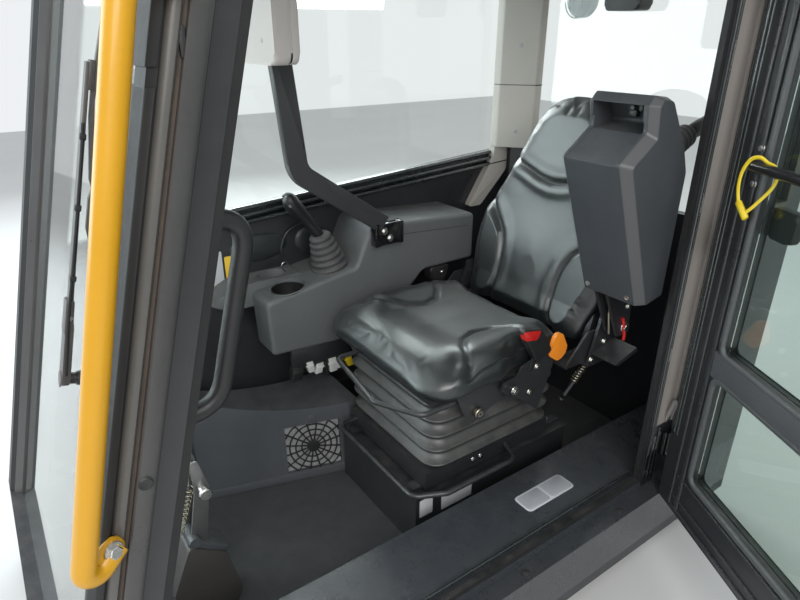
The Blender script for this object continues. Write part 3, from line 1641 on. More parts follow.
# ---- Control pod ----
@dataclass
class ControlPod:
    """The left stick's housing on its folding bracket."""

    outline: tuple[Point2, ...] = (
        (0.351, 0.712), (0.225, 1.028), (0.296, 1.080), (0.290, 1.128), (0.305, 1.146), (0.347, 1.141),
        (0.410, 1.050), (0.433, 0.998), (0.429, 0.728),
    )
    radii: tuple[float, ...] = (0.004, 0.011, 0.009, 0.007, 0.009, 0.014, 0.04, 0.02, 0.006)
    band: tuple[float, ...] = (0.017, 0.017, 0.011, 0.009, 0.007, 0.010, 0.010, 0.009, 0.002)
    inner_x: float = 0.260
    outer_x: float = 0.414
    band_depth: float = 0.019
    band_lift: float = 0.0005

    def ring(self, x: float, amounts: float | Sequence[float]) -> list[Vector]:
        """The side outline at a place across the pod.

        Args:
            x: The place.
            amounts: How far its edges are drawn in.

        Returns:
            The ring's points.
        """
        flat = rounded(inset(self.outline, amounts), self.radii, 6)
        return [Vector((x, point.x, point.y)) for point in flat]

    def housing(self) -> None:
        """The moulded housing with its hooded recess."""
        base = Form()
        base.loft([
            self.ring(self.inner_x, 0.005), self.ring(self.inner_x + 0.006, 0.0),
            self.ring(self.outer_x - self.band_depth, 0.0), self.ring(self.outer_x, self.band),
        ])
        shelf = Form()
        shelf.prism(((0.2235, 1.0225), (0.300, 1.0785), (0.300, 1.100), (0.205, 1.100), (0.205, 1.0225)),
                    Axis.X, self.inner_x - 0.02, self.outer_x - self.band_depth - 0.0065, 0.0)
        pocket = Form()
        pocket.slab(((0.215, 1.016), (0.298, 1.076), (0.366, 1.086), (0.345, 1.1285), (0.215, 1.1285)),
                    (0.0, 0.0, 0.010, 0.010, 0.0), 4, Axis.X, 0.2715, 0.3855, 0.0)
        form = carved(base, (shelf, pocket), 0.0022)
        form.piece("pod_shell", "control_pod", POD_MOULD, ("pod_housing",), angle=24)

    def band_strip(self) -> None:
        """The smooth band along the housing's outer front edge."""
        form = Form()
        rows = []
        for share in (0.07, 0.93):
            x = self.outer_x - self.band_depth * (1 - share)
            out = self.ring(x, [part * share - self.band_lift for part in self.band])
            rows.append([Vector((point.x + self.band_lift, point.y, point.z)) for point in out])
        steps = 7
        first, last = 3, 5 * steps - 1
        upper = [form.bm.verts.new(point) for point in rows[0][first:last]]
        lower = [form.bm.verts.new(point) for point in rows[1][first:last]]
        for index in range(len(upper) - 1):
            form.bm.faces.new((upper[index], upper[index + 1], lower[index + 1], lower[index]))
        bmesh.ops.solidify(form.bm, geom=list(form.bm.faces), thickness=0.0004)
        form.piece("pod_band", "control_pod", POD_BAND, angle=30)

    def latch(self) -> None:
        """The latch under the hood, and the screws in the housing's foot."""
        form = Form()
        form.block((0.318, 0.338, 1.110), (0.352, 0.360, 1.1275), 0.002)
        form.block((0.326, 0.331, 1.100), (0.344, 0.346, 1.114), 0.003)
        form.stud((0.0055, 0.004), (0.004, 0.005), (0.335, 0.333, 1.118), (0, -1, 0), 20)
        form.piece("pod_latch", "control_pod", BLACK_MOULD)
        screws = Form()
        for x in (0.276, 0.380):
            screws.turned(((0.0065, 0), (0.0062, 0.0016), (0.003, 0.002), (0.0028, 0.0008)),
                          (x, 0.3455, 0.7265), (0, -0.93, -0.37), 20)
        screws.piece("pod_screws", "control_pod", ZINC)

    def stick(self) -> None:
        """The stick's folded boot and grip behind the housing."""
        lean = Vector((0.0, math.cos(math.radians(15)), math.sin(math.radians(15))))
        origin = Vector((0.349, 0.395, 1.020))
        boot = ribbed(origin, lean, 0.126, 0.040, 0.021, 7, 0.0045)
        boot.piece("pod_boot", "control_pod", BELLOWS_RUBBER, ("pod_joystick",), angle=60)
        grip = Form()
        rings = []
        for share, across, deep, bend in ((0.0, 0.014, 0.014, 0.0), (0.25, 0.0155, 0.0165, 0.001),
                                          (0.5, 0.017, 0.0185, 0.001), (0.72, 0.0165, 0.017, 0.0),
                                          (0.86, 0.0182, 0.0185, 0.0), (0.95, 0.0175, 0.0175, 0.0),
                                          (1.0, 0.0125, 0.0125, 0.0)):
            centre = origin + lean * (0.115 + 0.104 * share) + Vector((0, 0, bend))
            up = Vector((0, -lean.z, lean.y))
            rings.append([centre + Vector((across * math.cos(a), 0, 0)) + up * deep * math.sin(a)
                          for a in turns(20)])
        grip.loft(rings)
        grip.piece("pod_grip", "control_pod", GRIP_MOULD, levels=1, angle=60)

    def linkage(self) -> None:
        """Pins, rod, sleeve, bolts, return spring and damper of the folding bracket."""
        bolts = Form()
        for centre, size in (((0.3162, 0.455, 0.600), 0.0095), ((0.3162, 0.400, 0.700), 0.007),
                             ((0.3162, 0.455, 0.655), 0.005)):
            bolts.bolt(centre, ALONG_X, size)
        bolts.piece("pod_pins", "control_pod", ZINC)
        rod = Form()
        rod.tube(((0.300, 0.412, 0.712), (0.300, 0.409, 0.640), (0.300, 0.421, 0.585)), 0.0032, 10)
        rod.bolt((0.300, 0.409, 0.672), (0, 0.05, -1), 0.0065)
        rod.piece("pod_rod", "control_pod", STAINED_STEEL)
        sleeve = Form()
        sleeve.tube(((0.3185, 0.440, 0.628), (0.3195, 0.448, 0.606), (0.3195, 0.455, 0.582),
                     (0.3185, 0.457, 0.566)), 0.0042, 12)
        sleeve.piece("pod_sleeve", "control_pod", RED_MOULD)
        seat_bolts = Form()
        for centre in ((0.2722, 0.405, 0.505), (0.2722, 0.486, 0.505), (0.2722, 0.447, 0.545)):
            seat_bolts.bolt(centre, ALONG_X, 0.006)
        seat_bolts.piece("bracket_bolts", "seat", ZINC)
        spring = coil((0.250, 0.420, 0.486), (0.238, 0.392, 0.428), 0.0095, 0.0016, 9)
        spring.piece("bracket_spring", "seat", STAINED_STEEL, angle=60)
        damper = Form()
        damper.tube(((0.250, 0.424, 0.488), (0.2395, 0.394, 0.430), (0.231, 0.372, 0.392)), 0.0055, 14)
        damper.bolt((0.2285, 0.367, 0.385), (-0.2, -0.55, -0.8), 0.007)
        damper.piece("bracket_damper", "seat", BLACK_COAT)

    def build(self) -> None:
        """Build the housing, its stick and the linkage."""
        self.housing()
        self.band_strip()
        self.latch()
        self.stick()
        self.linkage()


# ---- Right console ----
@dataclass
class Console:
    """The right arm console, with its cup holder and its stick."""

    outline: tuple[Point2, ...] = (
        (-0.211, 0.612), (-0.205, 0.457), (-0.006, 0.445), (0.059, 0.461), (0.239, 0.542), (0.294, 0.597),
        (0.489, 0.597), (0.489, 0.742), (0.111, 0.764), (0.061, 0.654),
    )
    radii: tuple[float, ...] = (0.016, 0.014, 0.06, 0.06, 0.06, 0.05, 0.012, 0.016, 0.030, 0.030)
    wall_x: float = -0.450
    face_x: float = -0.275
    cup: Point = (-0.3235, -0.127, 0.632)
    boot_origin: Point = (-0.352, 0.021, 0.636)
    boot_axis: Point = (0.0, -0.28, 0.96)

    def ring(self, x: float, amount: float) -> list[Vector]:
        """The console's side outline at a place across it.

        Args:
            x: The place.
            amount: How far the outline is drawn in.

        Returns:
            The ring's points.
        """
        radii = [max(radius - amount * 0.5, 0.002) for radius in self.radii]
        return [Vector((x, point.x, point.y)) for point in rounded(inset(self.outline, amount), radii, 7)]

    def shell(self) -> None:
        """The moulded shell with its holes."""
        base = Form()
        rows = [self.ring(self.wall_x + 0.0005, 0.0)]
        edge = 0.011
        for step in range(7):
            turn = math.pi / 2 * step / 6
            rows.append(self.ring(self.face_x - edge + edge * math.sin(turn), edge * (1 - math.cos(turn))))
        base.loft(rows)
        cup = Form()
        x, y, _ = self.cup
        cup.turned(((0.042, 0.562), (0.0455, 0.566), (0.046, 0.625), (0.0475, 0.633), (0.049, 0.70)),
                   (x, y, 0.0), ALONG_Z, 56)
        tray = Form()
        tray.prism(rectangle((-0.245, 0.40), (-0.061, 0.70)), Axis.X, self.wall_x - 0.02, -0.372, 0.0)
        form = carved(base, (cup, tray), 0.0018, 2, 40.0)
        form.piece("console_shell", "cab", CONSOLE_MOULD, ("right_console",), angle=30)
        line = Form()
        line.prism(((0.189, 0.7245), (0.462, 0.7060), (0.462, 0.7073), (0.189, 0.7258)), Axis.X,
                   self.face_x - 0.0008, self.face_x + 0.0003, 0.0)
        line.piece("console_lid_line", "cab", BLACK_MOULD)

    def cup_ring(self) -> None:
        """A rolled rim and a dark liner in the cup holder."""
        x, y, _ = self.cup
        slope = Vector((0, -0.155, 1)).normalized()
        centre = Vector((x, y, 0.6255))
        form = Form()
        side = slope.cross(Vector(ALONG_X)).normalized()
        line = [centre + Vector((0.0480 * math.cos(a), 0, 0)) - side * 0.0484 * math.sin(a)
                for a in (2 * math.pi * step / 48 for step in range(49))]
        form.tube(line, 0.0019, 8, caps=False)
        form.piece("cup_rim", "cab", CONSOLE_MOULD, angle=60)
        liner = Form()
        liner.turned(((0.0405, 0.5625), (0.0445, 0.5665), (0.0452, 0.6215), (0.0442, 0.6215),
                      (0.0432, 0.5685), (0.040, 0.5645)), (x, y, 0.0), ALONG_Z, 48)
        liner.piece("cup_liner", "cab", BLACK_MOULD, angle=40)

    def joystick(self) -> None:
        """The ribbed boot and the shaft with its bulb grip."""
        axis = Vector(self.boot_axis).normalized()
        origin = Vector(self.boot_origin)
        collar = Form()
        collar.turned(((0.061, -0.006), (0.062, 0.002), (0.0600, 0.004), (0.052, 0.005)), origin, axis, 48)
        collar.piece("boot_collar", "cab", CONSOLE_MOULD, angle=40)
        boot = ribbed(origin + axis * 0.004, axis, 0.110, 0.0555, 0.0250, 6, 0.0068)
        boot.piece("stick_boot_folds", "cab", BOOT_RUBBER, ("stick_boot",), angle=70)
        grip = Form()
        tip = Vector((-0.352, -0.096, 0.866))
        rings = []
        forward = Vector((0.0, -0.96, -0.28)).normalized()
        across = Vector(ALONG_X)
        lean = (axis + forward * 0.9).normalized()
        low = origin + axis * 0.106
        for share, wide, deep in ((0.0, 0.0170, 0.0170), (0.12, 0.0160, 0.0160), (0.35, 0.0150, 0.0155),
                                  (0.50, 0.0162, 0.0175), (0.64, 0.0215, 0.0220), (0.78, 0.0245, 0.0248),
                                  (0.90, 0.0235, 0.0232), (0.98, 0.0165, 0.0155), (1.0, 0.0085, 0.0080)):
            bow = forward * 0.008 * eased(share, 0.35, 1.0)
            centre = low.lerp(tip, share) + bow
            up = lean if share > 0.6 else axis
            deepward = up.cross(across).normalized()
            rings.append([centre + across * wide * math.cos(a) + deepward * deep * math.sin(a)
                          for a in turns(24)])
        grip.loft(rings)
        grip.piece("stick_grip_bulb", "cab", GRIP_MOULD, ("stick_grip",), levels=1, angle=70)
        buttons = Form()
        top = tip + forward * 0.008
        face = (lean * 0.8 - forward * 0.35).normalized()
        for dx, dy in ((-0.009, 0.002), (0.009, 0.002), (0.0, -0.006)):
            spot = top + across * dx + forward * dy * 0.8 - lean * 0.0035
            buttons.stud((0.0042, 0.0035), (0.003, 0.0045), spot, face, 16)
        rocker = top - axis * 0.024 + Vector((0.0165, 0.0, 0.0))
        buttons.stud((0.005, 0.003), (0.0035, 0.0042), rocker, (1, -0.2, 0.1), 16)
        buttons.piece("stick_buttons", "cab", GREY_BUTTON, angle=40)

    def build(self) -> None:
        """Build the shell, the cup holder and the stick."""
        self.shell()
        self.cup_ring()
        self.joystick()


# ---- Cab frame ----
def raked(y: float, z: float) -> float:
    """A place in depth at the front pillars' foot, moved along their rake to a height."""
    return y + RAKE * (z - PILLAR_FOOT)


def pillar_rear(z: float) -> float:
    """The front pillars' rear face at a height."""
    return raked(PILLAR_REAR, z)


@dataclass
class FrontPillar:
    """The door side's front pillar: bead, stained groove, face and rubber edge."""

    low_z: float = PILLAR_FOOT
    high_z: float = 1.450
    band_start: float = 1.222

    def strip(self, name: str, corners: Sequence[Point2], finish: Finish, edge: float,
              replaces: Sequence[str] = ()) -> None:
        """One band of the raked pillar.

        Args:
            name: The piece's name.
            corners: Its section at the pillar's foot, in millimetres.
            finish: Its finish.
            edge: Radius of its edges.
            replaces: The model's nodes that it stands for.
        """
        form = Form()
        form.prism(mm_all(corners), Axis.Z, self.low_z, self.high_z, edge, lean=RAKE)
        form.piece(name, "cab", finish, replaces, angle=40)

    def build(self) -> None:
        """Build the bands and the small fittings on them."""
        self.strip("pillar_core", ((400, -848), (431, -848), (431, -830.5), (468.5, -830.5), (468.5, -825.8),
                                   (475.5, -825.8), (477, -824), (476.6, -818), (474.8, -811),
                                   (471.6, -804.5), (468, -800.5), (438, -800.3), (438, -764.3),
                                   (400, -764.3)), PILLAR_COAT, 0.0, ("a_pillar_left",))
        self.strip("pillar_rebate", ((432, -800.4), (440.2, -800.4), (440.2, -764.2), (404, -764.2),
                                     (404, -766), (432, -766)), BLACK_COAT, 0.0)
        self.strip("pillar_bead", ((432, -848), (463, -848), (470, -847), (475.4, -843.6), (477.8, -839),
                                   (477.4, -834.4), (474, -831.2), (468, -830.4), (432, -830.4)), BEAD_COAT,
                   0.0)
        self.strip("pillar_groove", rectangle((458, -830.3), (469.6, -826)), GROOVE_STAIN, 0.0)
        line = Form()
        for x, y in ((0.4676, -0.8012), (0.4402, -0.7995)):
            line.tube([Vector((x, raked(y, z), z)) for z in (self.low_z, self.high_z)], 0.0011, 8)
        line.piece("pillar_lines", "cab", RUBBER, angle=60)
        clips = Form()
        for z in (1.243, 0.50):
            y = pillar_rear(z) - 0.0645
            clips.block((0.4690, y - 0.003, z - 0.014), (0.4745, y + 0.0035, z + 0.014), 0.001)
        clips.turned(((0.0075, 0), (0.0085, 0.001), (0.0065, 0.0022), (0.004, 0.0012)),
                     (0.4762, pillar_rear(0.792) - 0.052, 0.792), ALONG_X, 24)
        clips.piece("pillar_plugs", "cab", BLACK_MOULD)
        flap = Form()
        for z_low, z_high, out in ((0.222, 1.205, 0.0), (self.band_start, 1.448, 0.0022)):
            flap.prism(((0.4195 - out, -0.8570 - out), (0.4705 + out, -0.8570 - out), (0.4770, -0.8490),
                        (0.4200, -0.8485)), Axis.Z, z_low, z_high, 0.0012, lean=RAKE)
        flap.warp(lambda point: Vector((point.x, point.y + self.foot_shift(point), point.z)))
        flap.piece("pillar_rubber", "cab", RUBBER)

    def foot_shift(self, point: Vector) -> float:
        """Bring a band that starts above the foot onto the raked line.

        Args:
            point: A point of the band.

        Returns:
            The shift in Y.
        """
        return RAKE * (self.band_start - self.low_z) if point.z > 1.215 else RAKE * 0.002


@dataclass
class FrontHandle:
    """The bright handle on the front pillar."""

    radius: float = 0.013

    def foot_radius(self, share: float) -> float:
        """The feet's half width along them: it widens, and closes at the end."""
        wide = 0.0122 + 0.0050 * eased(share, 0.0, 0.5)
        return wide * math.sqrt(max(1 - max(share - 0.62, 0.0) ** 2 * 5.5, 0.02))

    def build(self) -> None:
        """Build the bar, its flattened feet and their bolts."""
        form = Form()
        line = rounded(mm_all(((484, -556, 1296), (504, -606, 1298), (505, -624, 1224), (504, -745, 727),
                               (496, -731, 715), (482, -706, 731))), (0.0, 0.034, 0.05, 0.026, 0.016, 0.0), 9,
                       closed=False)
        form.tube(line, self.radius, 28)
        form.piece("front_handle_bar", "cab", YELLOW_COAT, ("grab_handle_front",), angle=60)
        feet = Form()
        for line in (((0.5000, -0.7390, 0.7190), (0.4930, -0.7265, 0.7225), (0.4860, -0.7150, 0.7270),
                      (0.4800, -0.7060, 0.7310), (0.4772, -0.7015, 0.7330)),
                     ((0.4970, -0.5860, 1.2975), (0.4920, -0.5760, 1.2970), (0.4860, -0.5660, 1.2965),
                      (0.4800, -0.5560, 1.2960), (0.4772, -0.5510, 1.2958))):
            feet.tube(line, self.foot_radius, 24, flat=0.42, up=(0.90, 0.40, 0.10))
        feet.piece("front_handle_feet", "cab", YELLOW_COAT, angle=60)
        bolts = Form()
        for centre in ((0.4925, -0.7120, 0.7330), (0.4925, -0.5640, 1.2965)):
            bolts.bolt(centre, (0.90, 0.40, 0.15), 0.0080)
        bolts.piece("front_handle_bolts", "cab", ZINC)


@dataclass
class InnerHandle:
    """The black loop handle inside the front pillar."""

    x: float = 0.386
    radius: float = 0.0125

    def build(self) -> None:
        """Build the loop, its collars and pins."""
        form = Form()
        high, low = pillar_rear(1.050), pillar_rear(0.800)
        corners = (
            (self.x, high - 0.036, 1.050), (self.x, high + 0.063, 1.050),
            (self.x, low + 0.063, 0.800), (self.x, low - 0.036, 0.800),
        )
        form.tube(rounded(corners, (0.0, 0.050, 0.050, 0.0), 10, closed=False), self.radius, 24)
        for z, y in ((1.050, high - 0.028), (0.800, low - 0.028)):
            form.stud((0.0125, 0.0075), (0.0105, 0.0085), (self.x + 0.0055, y, z), ALONG_X, 24)
            form.stud((0.0145, 0.020), (0.0125, 0.022), (self.x, y - 0.010, z), ALONG_Y, 24)
        form.piece("inner_handle_loop", "cab", GRIP_MOULD, ("grab_handle_inner",), angle=50)


@dataclass
class DisplayUnit:
    """The display case on its bent bar."""

    low: Point2 = (-0.403, 1.190)
    high: Point2 = (-0.104, 1.400)
    front_y: float = -0.211
    back_y: float = -0.157

    def case(self) -> None:
        """The case in two halves with its joint, the dark screen and the lines on the back."""
        for name, start, end, draw, edge in (("display_shell", self.front_y, -0.1725, 0.0, 0.008),
                                             ("display_bezel", -0.1718, self.back_y + 0.0015, 0.0006, 0.004)):
            x_low, z_low = self.low[0] + draw, self.low[1] + draw
            x_high, z_high = self.high[0] - draw, self.high[1] - draw
            corners = rounded(rectangle((x_low, z_low), (x_high, z_high)), 0.024, 7)
            form = Form()
            form.prism(corners, Axis.Y, start, end, edge, segments=4)
            form.piece(name, "cab", PALE_CASE, ("display",) if name == "display_shell" else (), angle=38)
        joint = Form()
        corners = rounded(rectangle((-0.4015, 1.1915), (-0.1055, 1.3985)), 0.023, 7)
        joint.prism(corners, Axis.Y, -0.1730, -0.1712, 0.0)
        joint.piece("display_joint", "cab", BLACK_MOULD)
        screen = Form()
        screen.slab(rectangle((-0.385, 1.212), (-0.122, 1.382)), 0.006, 4, Axis.Y, -0.159, self.back_y,
                    0.0008)
        screen.piece("display_screen", "cab", SCREEN_GLASS)
        rib = Form()
        for x in (-0.127, -0.380):
            rib.tube([Vector((x, self.front_y - 0.0001, z)) for z in (1.205, 1.385)], 0.0008, 6)
        for z in (1.236, 1.354):
            for x in (-0.345, -0.162):
                rib.turned(rectangle((0, 0), (0.005, 0.0006)), (x, self.front_y, z), (0, -1, 0), 16)
        rib.piece("display_lines", "cab", GREY_PLATE)

    def bar(self) -> None:
        """The bent flat bar and its boxed foot."""
        centre = rounded(((0.140, 0.7695), (-0.105, 0.940), (-0.135, 1.240)), (0.0, 0.060, 0.0), 12,
                         closed=False)
        left, right = [], []
        for index, point in enumerate(centre):
            ahead = centre[min(index + 1, len(centre) - 1)] - centre[max(index - 1, 0)]
            side = Vector((-ahead.y, ahead.x, 0)).normalized() * 0.025
            left.append(point + side)
            right.append(point - side)
        form = Form()
        form.prism([*left, *reversed(right)], Axis.X, -0.2748, -0.2502, 0.0028, segments=3)
        form.piece("display_bar", "cab", BAR_COAT, ("display_arm",), angle=30)
        foot = Form()
        foot.block((-0.2735, 0.110, 0.711), (-0.2510, 0.199, 0.7725), 0.0015)
        foot.slab(rectangle((0.108, 0.710), (0.124, 0.774)), 0.002, 2, Axis.X, -0.2745, -0.2475, 0.0012)
        foot.slab(rectangle((0.187, 0.710), (0.200, 0.774)), 0.002, 2, Axis.X, -0.2745, -0.2475, 0.0012)
        foot.piece("display_foot", "cab", GLOSS_COAT)
        bolts = Form()
        for y, z in ((0.139, 0.751), (0.158, 0.729)):
            bolts.bolt((-0.2510, y, z), ALONG_X, 0.0072)
        bolts.bolt((-0.2625, 0.075, 0.8185), (0, 0.55, 0.83), 0.006)
        bolts.piece("display_bolts", "cab", ZINC)

    def build(self) -> None:
        """Build the case and the bar."""
        self.case()
        self.bar()


@dataclass
class SideWall:
    """What is fixed to the far wall: belt rubbers, moulded swells, plates and clips."""

    wall_x: float = -0.450

    def belts(self) -> None:
        """Three rounded rubber bands under the far window."""
        form = Form()
        section = ((0.0, 0.0062), (0.35, 0.0064), (0.7, 0.0056), (0.92, 0.0034), (1.0, 0.0), (0.92, -0.0034),
                   (0.7, -0.0056), (0.35, -0.0064), (0.0, -0.0062))
        for drop, depth in ((0.0, 0.009), (0.017, 0.017), (0.034, 0.025)):
            rings = []
            for step in range(13):
                y = -0.606 + 1.364 * step / 12
                z = 0.7935 + 0.0664 * (y + 0.611) - drop
                rings.append([Vector((self.wall_x + dx * depth, y, z + dz)) for dx, dz in section])
            form.loft(rings)
        form.piece("belt_rubbers", "cab", BELT_RUBBER, ("window_track",), angle=50)

    def swell(self) -> None:
        """Moulded swells and a curved rib on the wall lining."""
        form = Form()
        for (y, z), (semi_y, semi_z), depth in (((-0.150, 0.706), (0.085, 0.040), 0.011),
                                                ((0.010, 0.700), (0.050, 0.044), 0.009)):
            rings = []
            for share in (1.0, 0.93, 0.8, 0.62, 0.42, 0.2, 0.05):
                out = depth * math.sqrt(max(1 - share**2, 0.0))
                rings.append([Vector((self.wall_x + 0.0003 + out, y + semi_y * share * math.cos(a),
                                      z + semi_z * share * math.sin(a))) for a in turns(32)])
            form.loft(rings)
        arc = smooth_line(mm_all(((-446, -82, 660), (-444, -84, 700), (-443, -62, 738), (-443, -20, 754),
                                  (-443, 24, 746), (-445, 52, 720))), 8)
        form.tube(arc, 0.0042, 12)
        form.piece("wall_swells", "cab", WALL_MOULD, angle=50)

    def plates(self) -> None:
        """The two blank plates on the wall."""
        for name, corners, finish in (
            ("wall_plate_grey", rectangle((-336, 606), (-256, 716)), WHITE_PLATE),
            ("wall_plate_yellow", rectangle((-250, 600), (-218, 698)), YELLOW_PLATE),
        ):
            form = Form()
            form.slab(mm_all(corners), 0.004, 4, Axis.X, self.wall_x, self.wall_x + 0.0012, 0.0003)
            form.piece(name, "cab", finish)

    def tray(self) -> None:
        """The side tray with its oval well, the wire clip beside it and a small connector."""
        base = Form()
        base.slab(mm_all(((-331, 600), (-271, 572), (-61, 572), (-61, 638), (-251, 638))), 0.008, 4, Axis.X,
                  -0.4497, -0.3722, 0.0025, segments=3)
        well = Form()
        well.turned(((0.88, 0.610), (0.96, 0.616), (1.0, 0.70)), (0, 0, 0), ALONG_Z, 48)
        well.warp(lambda point: Vector((-0.411 + point.x * 0.031, -0.131 + point.y * 0.047, point.z)))
        form = carved(base, (well,), 0.0012, 2, 40.0)
        form.piece("tray_shell", "cab", CONSOLE_MOULD, ("side_tray",), angle=34)
        clip = Form()
        line = smooth_line(mm_all(((-400, -84, 639), (-400, -86, 655), (-399, -98, 668), (-399, -108, 660),
                                   (-400, -103, 645), (-401, -96, 638))), 6)
        clip.tube(line, 0.0016, 8)
        clip.piece("tray_clip", "cab", ZINC, angle=60)
        case = Form()
        case.block((-0.4498, -0.196, 0.700), (-0.4385, -0.170, 0.719), 0.0018)
        for y in (-0.190, -0.183, -0.176):
            case.block((-0.4390, y - 0.002, 0.7165), (-0.4330, y + 0.002, 0.7215), 0.0006)
        case.piece("wall_connector", "cab", ZINC)

    def build(self) -> None:
        """Build the wall's fittings."""
        self.belts()
        self.swell()
        self.plates()
        self.tray()


@dataclass
class RearTrims:
    """The pale rear corner mouldings with their seams, seals and screws."""

    low_z: float = 0.902
    high_z: float = 1.449
    seam_z: float = 1.098

    def section(self, side: int) -> list[Vector]:
        """The moulding's rounded section.

        Args:
            side: 1 for the door side and -1 for the far side.

        Returns:
            The section's points.
        """
        corners = mm_all(((450, 700), (420, 700), (331, 775), (331, 800), (410, 800), (410, 760), (450, 760)))
        flat = [(side * x, y) for x, y in corners]
        return rounded(flat, (0.004, 0.014, 0.014, 0.004, 0.002, 0.002, 0.002), 5)

    def build(self) -> None:
        """Build both mouldings, the flared leg and the seal lines."""
        form = Form()
        for side in (-1, 1):
            for low, high in ((self.low_z, self.seam_z - 0.0012), (self.seam_z + 0.0012, self.high_z)):
                form.prism(self.section(side), Axis.Z, low, high, 0.0012)
        form.slab(mm_all(((700, 901), (700, 872), (595, 710), (650, 710), (760, 820), (760, 901))),
                  (0.002, 0.03, 0.008, 0.02, 0.03, 0.002), 6, Axis.X, -0.4495, -0.4262, 0.003, segments=3)
        form.piece("trim_mouldings", "cab", PALE_TRIM, ("rear_trims",), angle=34)
        seams = Form()
        for side in (-1, 1):
            seams.prism([(point.x * 0.9985, point.y + 0.001) for point in self.section(side)], Axis.Z,
                        self.seam_z - 0.0014, self.seam_z + 0.0014, 0.0)
            for x, y in ((0.3300, 0.7870), (0.4370, 0.6992)):
                seams.tube([Vector((side * x, y, z)) for z in (self.low_z, self.high_z)], 0.0016, 8)
        seams.piece("trim_seams", "cab", RUBBER, angle=60)
        caps = Form()
        for side in (-1, 1):
            for z in (0.955, 1.215, 1.380):
                caps.stud((0.0065, 0.0012), (0.004, 0.0020), (side * 0.3755, 0.7372, z),
                          (-side * 0.644, -0.765, 0), 20)
        caps.piece("trim_caps", "cab", GREY_PLATE)


@dataclass
class SillAndPosts:
    """The sill's plate, lip and bolts, and the door post's strip, seals, pipe and clamps."""

    def sill(self) -> None:
        """The sill's blank plate in two halves, the bead on its lip and the ledge's bolts."""
        plate = Form()
        corners = mm_all(rectangle((302, 137), (357, 296)))
        plate.slab(corners, 0.012, 6, Axis.Z, 0.2201, 0.2212, 0.0003)
        plate.piece("sill_plate", "cab", WHITE_PLATE)
        halves = Form()
        for low, high in ((141, 214), (219, 292)):
            inner = mm_all(rectangle((306, low), (353, high)))
            halves.slab(inner, 0.009, 5, Axis.Z, 0.2211, 0.2217, 0.0002)
        halves.piece("sill_plate_halves", "cab", GREY_PLATE)
        lip = Form()
        lip.tube([Vector((0.4085, y, 0.2268)) for y in (-0.760, -0.2, 0.2, 0.438)], 0.0034, 10)
        lip.piece("sill_lip_bead", "cab", BELT_RUBBER, angle=60)
        bolts = Form()
        for y in (-0.62, -0.30, 0.02, 0.34):
            bolts.turned(((0, 0), (0.009, 0), (0.0085, 0.002), (0.005, 0.0035), (0, 0.0038)),
                         (0.459, y, 0.1952), ALONG_Z, 24)
        bolts.piece("ledge_bolts", "cab", BLACK_COAT)

    def post(self) -> None:
        """The door post's pale strip, seals, pipe loop and clamps."""
        strip = Form()
        strip.prism(((0.4398, 0.4600), (0.4412, 0.4600), (0.4418, 0.5150), (0.4490, 0.5180), (0.4490, 0.5196),
                     (0.4398, 0.5196)), Axis.Z, 0.3800, 1.4295, 0.0004)
        strip.piece("post_strip", "cab", TAUPE_TRIM, ("b_pillar_trim",))
        seals = Form()
        for x, y, radius in ((0.4410, 0.4575, 0.0026), (0.4515, 0.5185, 0.0026), (0.4405, 0.4500, 0.0040)):
            seals.tube([Vector((x, y, z)) for z in (0.300, 1.440)], radius, 10, up=ALONG_X)
        seals.piece("post_seals", "cab", BELT_RUBBER, angle=60)
        loop = Form()
        line = smooth_line(mm_all(((444, 497, 396), (448, 497, 414), (451, 500, 432), (451, 506, 440),
                                   (450, 513, 430), (447, 516, 412), (444, 516, 394))), 8)
        loop.tube(line, 0.0052, 12)
        loop.piece("post_pipe", "cab", PIPE_GREY, angle=60)
        clamps = Form()
        clamps.block((0.4402, 0.4960, 0.380), (0.4448, 0.5195, 0.398), 0.001)
        for z_low, z_high in ((0.905, 0.955), (1.185, 1.240), (0.560, 0.600)):
            clamps.tube(smooth_line(((0.4405, 0.4560, z_low), (0.4426, 0.4555, z_low + 0.006),
                                     (0.4430, 0.4550, z_high - 0.008), (0.4420, 0.4530, z_high)), 4), 0.0010,
                        6)
        clamps.piece("post_clamps", "cab", ZINC)

    def build(self) -> None:
        """Build the sill's and the post's fittings."""
        self.sill()
        self.post()


